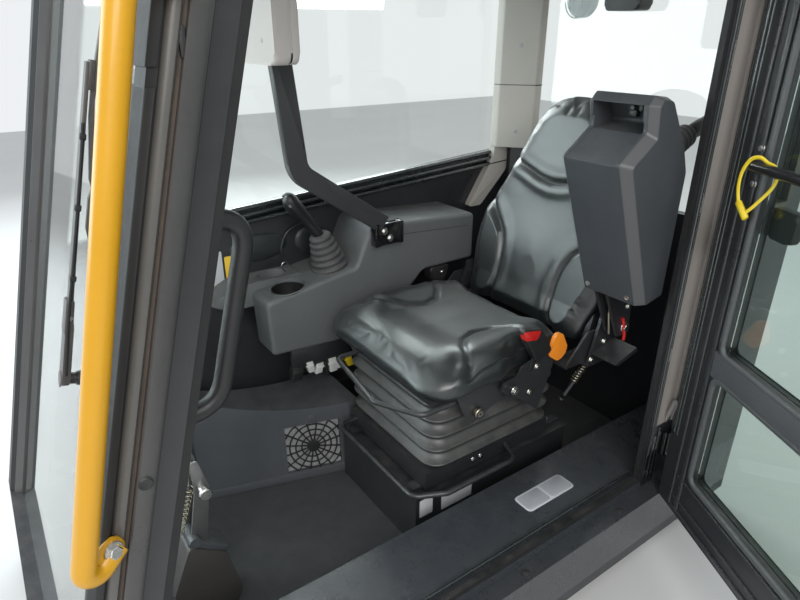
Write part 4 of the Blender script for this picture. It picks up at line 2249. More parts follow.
# ---- Door ----
@dataclass
class Door:
    """The glazed door, drawn in its own plane and set on its hinge line."""

    hinge: Point2 = (0.480, 0.505)
    heading: Point2 = (0.8829, -0.4695)
    face: float = 0.033
    rod_z: float = 1.030
    hinge_heights: tuple[float, ...] = (0.238, 0.850, 1.350)
    post_x: float = 0.4400

    def place(self, point: Vector) -> Vector:
        """A point of the door's plane in the cab's frame.

        Args:
            point: Distance from the hinge line, height and distance inward.

        Returns:
            The place.
        """
        along_x, along_y = self.heading
        s, z, n = point
        return Vector((self.hinge[0] + along_x * s + along_y * n, self.hinge[1] + along_y * s - along_x * n,
                       z))

    def front(self, z: float) -> float:
        """Distance from the hinge line to the front edge at a height."""
        return 0.535 - pillar_rear(z)

    def pane(self, low: float, high: float, draw: float) -> list[Point2]:
        """Corners of a pane drawn in by an amount."""
        low, high = low + draw, high - draw
        return [(0.120 + draw, low), (self.front(low) - 0.090 - draw, low),
                (self.front(high) - 0.090 - draw, high), (0.120 + draw, high)]

    def fix(self, form: Form, name: str, finish: Finish | Glass, replaces: Sequence[str] = (),
            angle: float = 34.0) -> None:
        """Set a form that is drawn in the door's plane on the door.

        Args:
            form: The form.
            name: The piece's name.
            finish: Its finish.
            replaces: The model's nodes that it stands for.
            angle: Edges sharper than this stay sharp, in degrees.
        """
        form.warp(self.place)
        form.piece(name, "door", finish, replaces, angle=angle)

    def beads(self) -> None:
        """Rounded frosted beads round the panes, inside, and thin seals outside."""
        inner, seals = Form(), Form()
        for low, high in ((0.655, 1.404), (0.326, 0.590)):
            for form, draw, n, size, flat in ((inner, -0.0055, 0.0362, 0.0080, 0.62),
                                              (seals, -0.001, 0.0335, 0.0022, 0.9),
                                              (seals, -0.002, 0.0040, 0.0040, 0.5)):
                ring = rounded(self.pane(low, high, draw), 0.022 - draw, 6)
                line = [Vector((point.x, point.y, n)) for point in ring]
                form.tube([*line, line[0], line[1]], size, 10, caps=False, flat=flat)
        self.fix(inner, "pane_bead_frames", BEAD_GREY, ("pane_beads",), 60.0)
        self.fix(seals, "pane_seals", RUBBER, angle=60.0)

    def stiles(self) -> None:
        """Ridges along the stiles and rails, the edge seals and the mid rail's plate."""
        ridge = Form()
        for s_low, s_high in ((0.060, 0.068), (0.0865, 0.0985)):
            ridge.prism(rectangle((s_low, 0.215), (s_high, 1.460)), Axis.Z, self.face, 0.0385, 0.0025,
                        segments=3)
        front_low, front_high = self.front(0.215), self.front(1.460)
        for low, high in ((0.018, 0.027), (0.050, 0.058)):
            ridge.prism(((front_low - high, 0.215), (front_low - low, 0.215), (front_high - low, 1.460),
                         (front_high - high, 1.460)), Axis.Z, self.face, 0.0380, 0.0022, segments=3)
        for low, high in ((0.2130, 0.2205), (0.2420, 0.2480), (0.3000, 0.3060)):
            ridge.prism(((0.072, low), (self.front(low) - 0.064, low), (self.front(high) - 0.064, high),
                         (0.072, high)), Axis.Z, self.face, 0.0380, 0.0018, segments=3)
        self.fix(ridge, "stile_ridges", RIDGE_COAT)
        seal = Form()
        edge = [Vector((0.0245, 0.392, 0.0342)), Vector((0.0245, 1.446, 0.0342))]
        seal.tube(edge, 0.0042, 12, flat=0.60)
        seal.tube(((0.0370, 0.392, 0.0342), (0.0370, 1.446, 0.0342)), 0.0024, 10)
        self.fix(seal, "stile_seal", BELT_RUBBER, angle=60.0)
        rail = Form()
        low, high = 0.5935, 0.6515
        rail.prism(((0.1035, low), (self.front(low) - 0.078, low), (self.front(high) - 0.078, high),
                    (0.1035, high)), Axis.Z, 0.0335, 0.0405, 0.0012)
        self.fix(rail, "mid_rail_plate", RAIL_COAT)

    def grab_rod(self) -> None:
        """The rod across the upper pane, its sockets and their bolts."""
        end = self.front(self.rod_z) - 0.064
        form = Form()
        corners = [Vector(point) for point in ((0.092, self.rod_z, self.face), (0.092, self.rod_z, 0.0505),
                                               (end, self.rod_z, 0.0505), (end, self.rod_z, self.face))]
        line = rounded(corners, (0.0, 0.016, 0.016, 0.0), 8, closed=False)
        form.tube(line, 0.0098, 22, up=ALONG_Y)
        self.fix(form, "grab_rod_bar", GRAB_COAT, ("door_grab_rod",), 60.0)
        sockets = Form()
        for s in (0.092, end):
            sockets.turned(((0.019, 0.0335), (0.0195, 0.035), (0.0185, 0.0375), (0.0125, 0.0395),
                            (0.0118, 0.046)), (s, self.rod_z, 0.0), ALONG_Z, 28)
        sockets.slab(((0.0740, 0.985), (0.1110, 0.985), (0.1110, 1.076), (0.0740, 1.066)), 0.006, 4, Axis.Z,
                     0.0335, 0.0365, 0.0010)
        self.fix(sockets, "grab_rod_sockets", BLACK_COAT)
        bolts = Form()
        for z in (0.996, 1.060):
            bolts.bolt((0.0925, z, 0.0365), ALONG_Z, 0.0055)
        self.fix(bolts, "grab_rod_bolts", ZINC)

    def strap(self) -> None:
        """The bright plastic tie that hangs on the rod."""
        points = ((0.1340, 1.0425, 0.0515), (0.1190, 1.0490, 0.0560), (0.1010, 1.0420, 0.0600),
                  (0.0875, 1.0180, 0.0612), (0.0850, 0.9880, 0.0600), (0.0935, 0.9600, 0.0585),
                  (0.1050, 0.9440, 0.0570), (0.1170, 0.9520, 0.0540), (0.1330, 0.9760, 0.0470),
                  (0.1460, 1.0000, 0.0405), (0.1500, 1.0190, 0.0395), (0.1460, 1.0360, 0.0430),
                  (0.1340, 1.0425, 0.0515))
        form = Form()
        form.tube(smooth_line(points, 7), 0.0036, 10, caps=False, flat=0.5)
        form.tube(((0.0905, 0.9625, 0.0575), (0.0915, 0.9612, 0.0573), (0.1160, 0.9375, 0.0550),
                   (0.1170, 0.9366, 0.0548)), lambda share: 0.0074 if 0.02 < share < 0.98 else 0.0060, 8,
                  flat=0.72)
        self.fix(form, "rod_strap", TIE_YELLOW, angle=50.0)

    def outside(self) -> None:
        """The catch and the pull handle on the door's outer face, and the lever inside."""
        catch = Form()
        catch.slab(rectangle((0.113, 0.901), (0.183, 0.959)), 0.015, 6, Axis.Z, -0.0165, 0.0035, 0.006,
                   segments=4)
        catch.turned(((0.015, 0.0), (0.016, 0.001), (0.016, 0.004)), (0.148, 0.930, -0.0178), ALONG_Z, 28)
        s = self.front(0.860) - 0.045
        catch.slab(rectangle((s - 0.021, 0.772), (s + 0.021, 0.948)), 0.013, 6, Axis.Z, -0.004, 0.0035, 0.002,
                   segments=3)
        grip = rounded([Vector(point) for point in ((s, 0.785, -0.003), (s, 0.785, -0.0115),
                                                    (s, 0.915, -0.0115), (s, 0.915, -0.003))],
                       (0.0, 0.007, 0.007, 0.0), 6, closed=False)
        catch.tube(grip, 0.0062, 16, up=ALONG_Y)
        catch.turned(((0.011, -0.003), (0.0115, -0.0065), (0.0095, -0.0085)), (s, 0.933, 0.0), ALONG_Z, 24)
        self.fix(catch, "door_catch_set", BLACK_MOULD, ("door_catch",))
        lever = Form()
        s = self.front(0.860) - 0.072
        lever.slab(rectangle((s - 0.011, 0.800), (s + 0.011, 0.920)), 0.008, 5, Axis.Z, 0.0380, 0.0430,
                   0.0015)
        lever.slab(((s - 0.052, 0.852), (s + 0.004, 0.848), (s + 0.004, 0.872), (s - 0.052, 0.868)), 0.008, 5,
                   Axis.Z, 0.0440, 0.0520, 0.003, segments=3)
        self.fix(lever, "door_inner_lever", BLACK_MOULD)

    def hinges(self) -> None:
        """Leaf and strap bolts, pin caps and the post's bent keepers."""
        strap_bolts, leaf_bolts, caps = Form(), Form(), Form()
        x, y = self.hinge
        for z in self.hinge_heights:
            for s in (0.030, 0.052):
                strap_bolts.bolt((s, z + 0.0175, -0.0022), (0, 0, -1), 0.0058)
            caps.turned(((0, 0), (0.0122, 0), (0.0128, 0.001), (0.0100, 0.0035), (0.0045, 0.0050),
                         (0, 0.0052)), (x, y, z + 0.0342), ALONG_Z, 24)
            for offset in (0.024, 0.048):
                leaf_bolts.bolt((x + 0.0042, y + offset, z - 0.017), ALONG_X, 0.0058)
        self.fix(strap_bolts, "strap_bolts", ZINC)
        caps.piece("hinge_caps", "door", BLACK_COAT)
        leaf_bolts.piece("leaf_bolts", "cab", ZINC)
        keeper = Form()
        for shift, low, high in ((0.0, 0.286, 0.352), (0.0075, 0.282, 0.336)):
            outer = ((0.4405, 0.4945), (0.4520, 0.4945), (0.4580, 0.4990), (0.4590, 0.5080), (0.4660, 0.5120),
                     (0.4765, 0.5120))
            line = [(px + shift * 0.3, py + shift) for px, py in outer]
            inner = [(px - 0.001, py + 0.0045) for px, py in reversed(line)]
            keeper.prism([*line, *inner], Axis.Z, low, high, 0.0008)
        for low, high, top, proud in ((0.4450, 0.4580, 0.385, 0.0030), (0.4600, 0.4735, 0.352, 0.0042),
                                      (0.4755, 0.4900, 0.372, 0.0034)):
            keeper.prism(((low, 0.206), (high, 0.206), (high, top - 0.012), (high - 0.004, top), (low, top)),
                         Axis.X, 0.4398, self.post_x + proud, 0.0014, segments=3)
            keeper.stud((0.0042, 0.0008), (0.003, 0.0014),
                        (self.post_x + proud, 0.5 * (low + high), top - 0.020), ALONG_X, 16)
        keeper.piece("post_keepers", "cab", GLOSS_COAT)

    def build(self) -> None:
        """Build the door's fittings."""
        self.beads()
        self.stiles()
        self.grab_rod()
        self.strap()
        self.outside()
        self.hinges()


# ---- Small fittings ----
@dataclass
class KickPanel:
    """Details of the kick panel: vent backing, spoked grille, screw and foot strip."""

    origin: Point = (-0.2228, -0.1325, 0.178)
    along: Point = (0.280, 0.960, 0.0)
    out: Point = (0.952, -0.278, 0.127)
    hub: float = 0.018
    pitch: float = 0.017

    def place(self, point: Vector) -> Vector:
        """A point of the panel's plane in the cab's frame."""
        out = Vector(self.out).normalized()
        along = Vector(self.along).normalized()
        return Vector(self.origin) + along * point.x + out.cross(along) * point.y + out * point.z

    def grille(self) -> None:
        """Spokes and hoops over a pale filter."""
        form = Form()
        half_x, low, high = 0.078, -0.082, 0.062
        form.stud((self.hub, 0.0028), (self.hub - 0.002, 0.0033), (0, -0.010, -0.0012), ALONG_Z, 32)
        for ring in range(1, 6):
            radius = self.hub + ring * self.pitch - 0.001
            line = []
            for step in range(97):
                turn = 2 * math.pi * step / 96
                spot = Vector((radius * math.cos(turn), -0.010 + radius * math.sin(turn), 0.0003))
                if abs(spot.x) < half_x and low < spot.y < high:
                    line.append(spot)
                    continue
                if len(line) > 2:
                    form.tube(line, 0.0021, 6)
                line = []
            if len(line) > 2:
                form.tube(line, 0.0021, 6)
        for spoke in range(16):
            turn = 2 * math.pi * (spoke + 0.5) / 16
            c, s = math.cos(turn), math.sin(turn)
            reach = min(half_x / max(abs(c), 0.01), 0.072 / max(abs(s), 0.01), 0.104)
            form.tube(((c * self.hub * 0.9, -0.010 + s * self.hub * 0.9, 0.0006),
                       (c * reach, -0.010 + s * reach, 0.0006)), 0.0022, 6)
        form.warp(self.place)
        form.piece("vent_spokes", "cab", BLACK_MOULD, ("vent_grille",), angle=50)
        filter_pad = Form()
        rings = []
        count = 26
        for row in range(count + 1):
            x = -0.0772 + 0.1544 * row / count
            rings.append([Vector((x, -0.0812 + 0.1424 * step / count,
                                  -0.0085 + 0.0012 * noise.noise(Vector((x * 90, step * 0.6, 1.7)))))
                          for step in range(count + 1)])
        filter_pad.loft(rings, closed=False, caps=False)
        filter_pad.warp(self.place)
        filter_pad.piece("vent_filter", "cab", FILTER_PALE)

    def screw(self) -> None:
        """The hatch's screw and the panel's foot strip."""
        form = Form()
        form.turned(((0.0105, 0), (0.0108, 0.0015), (0.0095, 0.0030), (0.0050, 0.0034), (0.0046, 0.0016)),
                    (0.002, 0.077, 0.0019), ALONG_Z, 28)
        form.prism(rectangle((-0.380, -0.1085), (0.110, -0.0860)), Axis.Z, -0.001, 0.0035, 0.001)
        form.warp(self.place)
        form.piece("kick_trim", "cab", KICK_MOULD)

    def build(self) -> None:
        """Build the grille, its backing, the screw and the strip."""
        self.grille()
        self.screw()


@dataclass
class FootPedal:
    """The pedal's cover, pad, arms, roller, return spring and switch."""

    x_low: float = -0.008
    x_high: float = 0.064

    def build(self) -> None:
        """Build the pedal."""
        cover = Form()
        side = mm_all(((-607, 70), (-477, 70), (-465, 104), (-487, 222), (-561, 275), (-607, 166)))
        cover.slab(side, (0.002, 0.004, 0.020, 0.018, 0.010, 0.012), 5, Axis.X, self.x_low, self.x_high,
                   0.005, segments=3)
        cover.piece("pedal_cover", "cab", PEDAL_MOULD, ("pedal",), angle=34)
        pad = Form()
        pad.slab(mm_all(((-563, 276), (-487, 222), (-480, 233), (-556, 288))), 0.003, 3, Axis.X, 0.002, 0.058,
                 0.002)
        pad.tube(((-0.004, -0.5480, 0.2835), (0.066, -0.5480, 0.2835)), 0.0125, 24)
        pad.piece("pedal_pad", "cab", KICK_MOULD)
        arms = Form()
        arm = mm_all(((-557, 260), (-523, 246), (-499, 400), (-515, 470), (-533, 466), (-529, 400)))
        for low in (0.006, 0.044):
            arms.slab(arm, 0.006, 4, Axis.X, low, low + 0.006, 0.001)
        arms.tube(((0.009, -0.524, 0.452), (0.047, -0.524, 0.452)), 0.005, 14)
        arms.piece("pedal_arms", "cab", ARM_STEEL)
        roller = Form()
        roller.turned(((0.0085, 0), (0.0085, 0.022), (0.0125, 0.023), (0.0130, 0.025), (0.0130, 0.030),
                       (0.0110, 0.032)), (0.0495, -0.515, 0.406), ALONG_X, 28)
        roller.stud((0.0075, 0.012), (0.006, 0.014), (0.0055, -0.515, 0.406), (-1, 0, 0), 24)
        roller.piece("pedal_roller", "cab", ZINC)
        spring = coil((0.028, -0.570, 0.292), (0.028, -0.532, 0.396), 0.0085, 0.0014, 11)
        spring.piece("pedal_spring", "cab", STAINED_STEEL, angle=60)
        tag = Form()
        tag.block((0.013, -0.536, 0.434), (0.030, -0.522, 0.446), 0.002)
        tag.piece("pedal_switch", "cab", TIE_YELLOW)


@dataclass
class Wiper:
    """The screen wiper: tapered arm, joint, washer pipe and blade."""

    pivot: Point = (0.208, -0.6763, 0.800)
    out: Point = (0.0, -0.966639, 0.256159)

    def place(self, point: Vector) -> Vector:
        """A point of the screen's plane in the cab's frame: across, up, out."""
        out = Vector(self.out)
        up = Vector((0.0, 0.256159, 0.966639))
        return Vector(self.pivot) + Vector(ALONG_X) * point.x + up * point.y + out * point.z

    def arm(self) -> None:
        """The arm, its joint box and its pivot cap."""
        form = Form()
        form.slab(((-0.0138, -0.008), (0.0138, -0.008), (0.0125, 0.085), (-0.0125, 0.085)),
                  (0.010, 0.010, 0.003, 0.003), 6, Axis.Z, 0.0245, 0.0350, 0.002, segments=3)
        form.prism(((-0.0105, 0.075), (0.0105, 0.075), (0.0062, 0.425), (-0.0062, 0.425)), Axis.Z, 0.0270,
                   0.0325, 0.0012)
        form.slab(((-0.0130, 0.070), (0.0130, 0.070), (0.0115, 0.118), (-0.0115, 0.118)), 0.003, 3, Axis.Z,
                  0.0255, 0.0360, 0.0015)
        form.turned(((0.0118, 0.0350), (0.0112, 0.0362), (0.0060, 0.0366)), (0, 0, 0), ALONG_Z, 28)
        form.warp(self.place)
        form.piece("wiper_arm", "wiper", WIPER_COAT, ("wiper",), angle=34)
        pin = Form()
        pin.turned(((0.0032, -0.0135), (0.0038, -0.0125), (0.0038, 0.0125), (0.0032, 0.0135)),
                   (0, 0.094, 0.0305), ALONG_X, 16)
        pin.warp(self.place)
        pin.piece("wiper_pin", "wiper", ZINC)

    def blade(self) -> None:
        """The blade's bridges, backing and rubber edge."""
        bridge = Form()
        for low, high, base, top in ((0.270, 0.490, 0.0185, 0.0240), (0.185, 0.290, 0.0125, 0.0180),
                                     (0.470, 0.575, 0.0125, 0.0180)):
            middle = 0.5 * (low + high)
            side = [(low, base - 0.004), (low + 0.012, base), (middle - 0.02, top), (middle + 0.02, top),
                    (high - 0.012, base), (high, base - 0.004), (high - 0.014, base - 0.004),
                    (middle, top - 0.005), (low + 0.014, base - 0.004)]
            part = Form()
            part.prism(side, Axis.X, -0.0048, 0.0048, 0.0010)
            bridge.bm.from_mesh(part.to_mesh("bridge"))
        bridge.prism(rectangle((-0.0065, 0.392), (0.0065, 0.428)), Axis.Z, 0.0215, 0.0285, 0.0012)
        bridge.warp(self.place)
        bridge.piece("wiper_bridges", "wiper", WIPER_COAT)
        edge = Form()
        section = ((-0.0038, 0.0120), (0.0038, 0.0120), (0.0038, 0.0085), (0.0012, 0.0070), (0.0008, 0.0012),
                   (-0.0008, 0.0012), (-0.0012, 0.0070), (-0.0038, 0.0085))
        rings = [[Vector((x, along, out)) for x, out in section]
                 for along in (0.162, 0.280, 0.400, 0.520, 0.598)]
        edge.loft(rings)
        edge.warp(self.place)
        edge.piece("wiper_rubber", "wiper", RUBBER)

    def pipe(self) -> None:
        """The washer pipe clipped along the arm."""
        form = Form()
        points = ((0.0125, 0.010, 0.0300), (0.0140, 0.040, 0.0310), (0.0132, 0.090, 0.0325),
                  (0.0112, 0.160, 0.0310), (0.0098, 0.230, 0.0305), (0.0085, 0.300, 0.0302),
                  (0.0070, 0.352, 0.0310))
        form.tube(smooth_line(points, 5), 0.0021, 8)
        for y, x in ((0.150, 0.0108), (0.245, 0.0092), (0.335, 0.0070)):
            form.block((x - 0.0050, y - 0.004, 0.0262), (x + 0.0030, y + 0.004, 0.0338), 0.001)
        form.warp(self.place)
        form.piece("washer_pipe", "wiper", RUBBER, angle=50)

    def spindle(self) -> None:
        """The spindle's boss and nut on the cab."""
        form = Form()
        form.turned(((0.0128, 0.0003), (0.0128, 0.0060), (0.0108, 0.0080), (0.0100, 0.0150), (0.0082, 0.0162),
                     (0.0082, 0.0236)), (0, 0, 0), ALONG_Z, 32)
        form.warp(self.place)
        form.piece("spindle_boss", "cab", BLACK_MOULD, ("wiper_spindle",))

    def build(self) -> None:
        """Build the wiper."""
        self.arm()
        self.blade()
        self.pipe()
        self.spindle()


@dataclass
class RearFittings:
    """The work lamp, its wire guard and the wiper motor's cover at the back."""

    lamp_x: float = -0.265
    lamp_z: float = 1.340

    def build(self) -> None:
        """Build the lamp and the cover."""
        form = Form()
        centre = (self.lamp_x, 0.0, self.lamp_z)
        form.turned(((0.018, 0.8395), (0.030, 0.8440), (0.041, 0.8520), (0.0465, 0.8650), (0.0480, 0.8740),
                     (0.0490, 0.8760), (0.0490, 0.8860), (0.0460, 0.8885), (0.0425, 0.8885),
                     (0.0415, 0.8840)), centre, ALONG_Y, 40)
        for shift in (-0.024, -0.012, 0.0, 0.012, 0.024):
            form.block((self.lamp_x + shift - 0.0018, 0.8400, self.lamp_z - 0.036 + abs(shift) * 0.5),
                       (self.lamp_x + shift + 0.0018, 0.8620, self.lamp_z + 0.036 - abs(shift) * 0.5), 0.001)
        form.slab(rectangle((-0.0125, 0.0), (0.0125, 0.088)), 0.004, 3, Axis.Y, 0.8340, 0.8395, 0.001)
        form.warp(lambda point: point if point.z > 0.5
                  else Vector((point.x + self.lamp_x, point.y, point.z + self.lamp_z)))
        form.slab(rectangle((-0.089, 1.3035), (0.019, 1.4480)), 0.014, 6, Axis.Y, 0.7485, 0.8055, 0.006,
                  segments=4)
        for z in (1.330, 1.342, 1.354):
            form.block((-0.070, 0.7472, z), (0.000, 0.7492, z + 0.005), 0.0008)
        form.piece("lamp_and_cover", "cab", BLACK_MOULD, ("rear_fittings",), angle=34)
        lens = Form()
        lens.turned(((0, 0.8842), (0.0412, 0.8842), (0.0405, 0.8868), (0.0300, 0.8890), (0.0150, 0.8900),
                     (0, 0.8903)), centre, ALONG_Y, 36)
        lens.piece("lamp_lens", "cab", LAMP_LENS, angle=50)
        guard = Form()
        for radius, depth in ((0.0440, 0.8620), (0.0475, 0.8520)):
            line = [Vector((self.lamp_x + radius * math.cos(a), depth,
                            self.lamp_z - 0.002 + radius * math.sin(a)))
                    for a in (math.pi * (1.02 + 0.96 * step / 24) for step in range(25))]
            guard.tube(line, 0.0020, 8)
        guard.piece("lamp_guard", "cab", BLACK_COAT, angle=60)


@dataclass
class Connectors:
    """Plugs on their rail under the console, and the belt's retractor and tongue."""

    rail_x: float = -0.2905
    collar: float = 0.0018

    def plug(self, form: Form, y: float, z: float, size: Point, lean: float) -> None:
        """One plug with its collar.

        Args:
            form: The mesh in the making.
            y: Its place along the rail.
            z: Height of its top.
            size: Its width, depth and height.
            lean: Shift in Y from its top to its foot.
        """
        width, depth, height = size
        x = self.rail_x
        corners = rectangle((x - width / 2, y - depth / 2), (x + width / 2, y + depth / 2))
        form.slab(corners, 0.002, 2, Axis.Z, z, z - height, 0.0012, lean=-lean / height)
        collar = []
        for cx, cy in corners:
            collar.append((cx + math.copysign(self.collar, cx - x), cy + math.copysign(self.collar, cy - y)))
        form.slab(collar, 0.002, 2, Axis.Z, z - height * 0.30, z - height * 0.48, 0.0008, lean=-lean / height)

    def build(self) -> None:
        """Build the rail, the plugs, the retractor and the tongue."""
        rail = Form()
        rail.slab(mm_all(((-150, 452), (-150, 388), (34, 372), (34, 446))), 0.003, 3, Axis.X, -0.2960,
                  -0.2850, 0.0012)
        rail.piece("plug_rail", "cab", BLACK_COAT)
        white, black, yellow = Form(), Form(), Form()
        for y, z, size, lean in ((-0.098, 0.402, (0.018, 0.020, 0.034), 0.006),
                                 (-0.066, 0.388, (0.020, 0.022, 0.030), -0.006),
                                 (-0.026, 0.392, (0.018, 0.024, 0.044), 0.003),
                                 (-0.004, 0.378, (0.016, 0.018, 0.026), -0.004)):
            self.plug(white, y, z, size, lean)
        for y, z, size, lean in ((-0.136, 0.398, (0.026, 0.030, 0.040), -0.005),
                                 (-0.046, 0.386, (0.014, 0.010, 0.050), 0.004)):
            self.plug(black, y, z, size, lean)
        self.plug(yellow, 0.026, 0.384, (0.018, 0.020, 0.036), 0.010)
        white.piece("plugs_white", "cab", WHITE_MOULD)
        black.piece("plugs_black", "cab", BLACK_MOULD)
        yellow.piece("plug_yellow", "cab", TIE_YELLOW)
        reel = Form()
        reel.slab(mm_all(((318, 560), (372, 548), (392, 597), (318, 597))), 0.010, 5, Axis.X, -0.3050,
                  -0.2705, 0.003, segments=3)
        reel.slab(mm_all(((330, 535), (356, 529), (360, 552), (334, 558))), 0.004, 4, Axis.X, -0.2960,
                  -0.2780, 0.002)
        reel.piece("belt_reel", "cab", BLACK_MOULD)
        tongue = Form()
        tongue.slab(mm_all(((336, 505), (352, 501), (357, 531), (341, 535))), 0.002, 3, Axis.X, -0.2880,
                    -0.2855, 0.0006)
        tongue.stud((0.007, 0.003), (0.005, 0.0045), (-0.2708, 0.362, 0.576), ALONG_X, 20)
        tongue.piece("belt_tongue", "cab", ZINC)


@dataclass
class RoofAndFeet:
    """Bolts of the feet and ribs pressed into the roof."""

    def build(self) -> None:
        """Build the ribs and the bolts."""
        low, high = (Vector(corner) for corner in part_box("roof_panel"))
        ribs = Form()
        for share in (0.22, 0.41, 0.59, 0.78):
            x = low.x + (high.x - low.x) * share
            ribs.slab(rectangle((x - 0.020, low.y + 0.12), (x + 0.020, high.y - 0.12)), 0.018, 6, Axis.Z,
                      high.z - 0.004, high.z + 0.0055, 0.004, segments=3)
        ribs.piece("roof_ribs", "cab", ROOF_SHEEN, angle=34)
        foot_low, foot_high = (Vector(corner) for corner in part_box("mounting_feet"))
        bolts = Form()
        for x in (foot_low.x + 0.035, foot_high.x - 0.035):
            for y in (foot_low.y + 0.035, foot_high.y - 0.035):
                bolts.bolt((x, y, 0.0125), ALONG_Z, 0.009)
        bolts.piece("foot_bolts", "cab", ZINC)


# ---- Stage ----
@dataclass
class Studio:
    """The floor, the light and the camera."""

    camera_place: Point = (1.070, -0.735, 1.250)
    heading: float = 55.0
    pitch: float = 24.0
    lens: float = 27.0
    sensor: float = 36.0
    nearest: float = 0.02
    floor_size: float = 9.0
    floor_tones: tuple[Color, Color] = ((0.62, 0.62, 0.61), (0.70, 0.70, 0.69))
    floor_roughness: float = 0.8
    sky_light: Color = (0.93, 0.96, 1.0)
    sky_strength: float = 0.75
    sky_seen: Color = (0.86, 0.88, 0.90)
    sky_seen_strength: float = 1.0

    def build(self) -> None:
        """Build the floor, the world, the lamps and the camera."""
        self.floor()
        self.world()
        self.lamps()
        self.camera()

    def floor(self) -> None:
        """A plain pale floor."""
        form = Form()
        size = self.floor_size
        form.block((-size, -size, -0.02), (size, size, -0.0005), 0.005)
        floor = form.to_object("floor")
        material, tools, shader = new_material("pale_floor")
        cloud = tools.noise(tools.place(), 1.5, 4.0)
        tone = tools.blend(cloud, *self.floor_tones)
        tools.join(tone, shader.inputs["Base Color"])
        shader.inputs["Roughness"].default_value = self.floor_roughness
        floor.data.materials.append(material)

    def world(self) -> None:
        """A pale even sky, a little darker as light than as it is seen."""
        world = bpy.data.worlds.new("pale_sky")
        bpy.context.scene.world = world
        world.use_nodes = True
        tools = NodeTools(world.node_tree)
        light = world.node_tree.nodes["Background"]
        light.inputs["Color"].default_value = (*self.sky_light, 1.0)
        light.inputs["Strength"].default_value = self.sky_strength
        shown = tools.add("ShaderNodeBackground")
        shown.inputs["Color"].default_value = (*self.sky_seen, 1.0)
        shown.inputs["Strength"].default_value = self.sky_seen_strength
        path = tools.add("ShaderNodeLightPath")
        seen = tools.math("MAXIMUM", path.outputs["Is Camera Ray"], path.outputs["Is Transmission Ray"])
        tools.mix(seen, light.outputs[0], shown.outputs[0], world.node_tree.nodes["World Output"])

    def lamp(self, name: str, place: Point, target: Point, size: float, power: float, color: Color) -> None:
        """A square soft lamp.

        Args:
            name: The lamp's name.
            place: Where it is.
            target: The point that it faces.
            size: Length of its side.
            power: Its power in watts.
            color: The colour of its light.
        """
        light = bpy.data.lights.new(name, "AREA")
        light.size = size
        light.energy = power
        light.color = color
        lamp = bpy.data.objects.new(name, light)
        lamp.location = place
        lamp.rotation_euler = (Vector(target) - Vector(place)).to_track_quat("-Z", "Y").to_euler()
        bpy.context.scene.collection.objects.link(lamp)

    def lamps(self) -> None:
        """Soft lamps from the door side, the front and the far side."""
        self.lamp("door_lamp", (3.0, -1.6, 2.8), (0, 0, 0.7), 2.4, 100, (1.0, 0.985, 0.96))
        self.lamp("front_lamp", (-2.3, -3.1, 2.0), (0, 0.1, 0.8), 3.0, 120, (0.84, 0.96, 1.0))
        self.lamp("far_lamp", (-3.4, 1.0, 2.6), (0, 0.2, 0.9), 2.6, 110, (0.90, 0.97, 1.0))

    def camera(self) -> None:
        """The camera at the doorway."""
        data = bpy.data.cameras.new("camera")
        data.lens = self.lens
        data.sensor_width = self.sensor
        data.clip_start = self.nearest
        camera = bpy.data.objects.new("camera", data)
        camera.location = self.camera_place
        camera.rotation_euler = (math.radians(90 - self.pitch), 0.0, math.radians(self.heading))
        bpy.context.scene.collection.objects.link(camera)
        bpy.context.scene.camera = camera


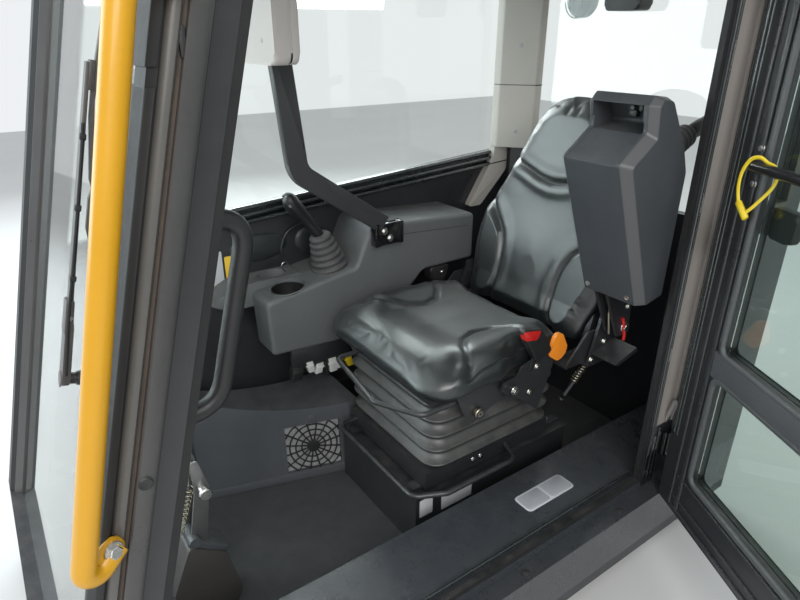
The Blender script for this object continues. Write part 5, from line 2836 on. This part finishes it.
NODE_FINISHES: dict[str, Finish | Glass] = {"mounting_feet": BLACK_COAT, "floor_pan": FLOOR_COAT,
                                            "sill_left": SILL_COAT, "sill_right": BLACK_COAT,
                                            "front_sill": BLACK_COAT, "a_pillar_left": PILLAR_COAT,
                                            "a_pillar_right": PILLAR_COAT, "b_pillar_left": BLACK_COAT,
                                            "b_pillar_trim": PALE_TRIM, "cab_seals": RUBBER,
                                            "rear_posts": BLACK_COAT, "cant_rail_left": BLACK_COAT,
                                            "cant_rail_right": BLACK_COAT, "roof_headers": BLACK_COAT,
                                            "roof_panel": ROOF_SHEEN, "headliner": HEADLINING,
                                            "windscreen": CLEAR_GLASS, "side_panels": BLACK_COAT,
                                            "side_glass": CLEAR_GLASS, "window_track": RUBBER,
                                            "rear_bulkhead": BLACK_COAT, "rear_window": CLEAR_GLASS,
                                            "rear_trims": PALE_TRIM, "hinge_leaves": BLACK_COAT,
                                            "seat_plinth": BLACK_COAT, "right_console": CONSOLE_MOULD,
                                            "side_tray": BLACK_MOULD, "stick_boot": BOOT_RUBBER,
                                            "stick_grip": GRIP_MOULD, "kick_panel": KICK_MOULD,
                                            "vent_grille": BLACK_MOULD, "display_arm": BLACK_COAT,
                                            "display": PALE_CASE, "grab_handle_front": YELLOW_COAT,
                                            "grab_handle_inner": BLACK_COAT, "wiper_spindle": ZINC,
                                            "pedal": BLACK_MOULD, "rear_fittings": BLACK_MOULD,
                                            "door_frame": BLACK_COAT, "door_glass": DOOR_GLASS,
                                            "pane_beads": RUBBER, "hinge_straps": BLACK_COAT,
                                            "door_grab_rod": BLACK_COAT, "door_catch": BLACK_MOULD,
                                            "seat_base": BLACK_COAT, "seat_bellows": BELLOWS_RUBBER,
                                            "seat_pan": BLACK_COAT, "seat_cushion": VINYL,
                                            "recliner_brackets": BLACK_COAT, "pod_bracket": BLACK_COAT,
                                            "seat_side_plates": BLACK_COAT, "seat_buckle": BLACK_MOULD,
                                            "release_lever": ORANGE_MOULD, "release_bars": BLACK_COAT,
                                            "backrest_pad": VINYL, "backrest_frame": BLACK_COAT,
                                            "pod_arm": BLACK_COAT, "pod_housing": POD_MOULD,
                                            "pod_joystick": BOOT_RUBBER, "wiper": RUBBER,}


def assemblies() -> list:
    """The sub-assemblies in the order they are built."""
    return [Cushion(), Backrest(), Bellows(), SeatHardware(), ControlPod(), Console(), FrontPillar(),
            FrontHandle(), InnerHandle(), DisplayUnit(), SideWall(), RearTrims(), SillAndPosts(), Door(),
            KickPanel(), FootPedal(), Wiper(), RearFittings(), Connectors(), RoofAndFeet()]


def main() -> None:
    """Load the model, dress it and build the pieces."""
    logging.basicConfig(level=logging.INFO, format="%(message)s")
    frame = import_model()
    bpy.context.scene.view_settings.view_transform = "Standard"
    Studio().build()
    dress(frame["nodes"], NODE_FINISHES)
    for assembly in assemblies():
        assembly.build()


if __name__ == "__main__":
    main()
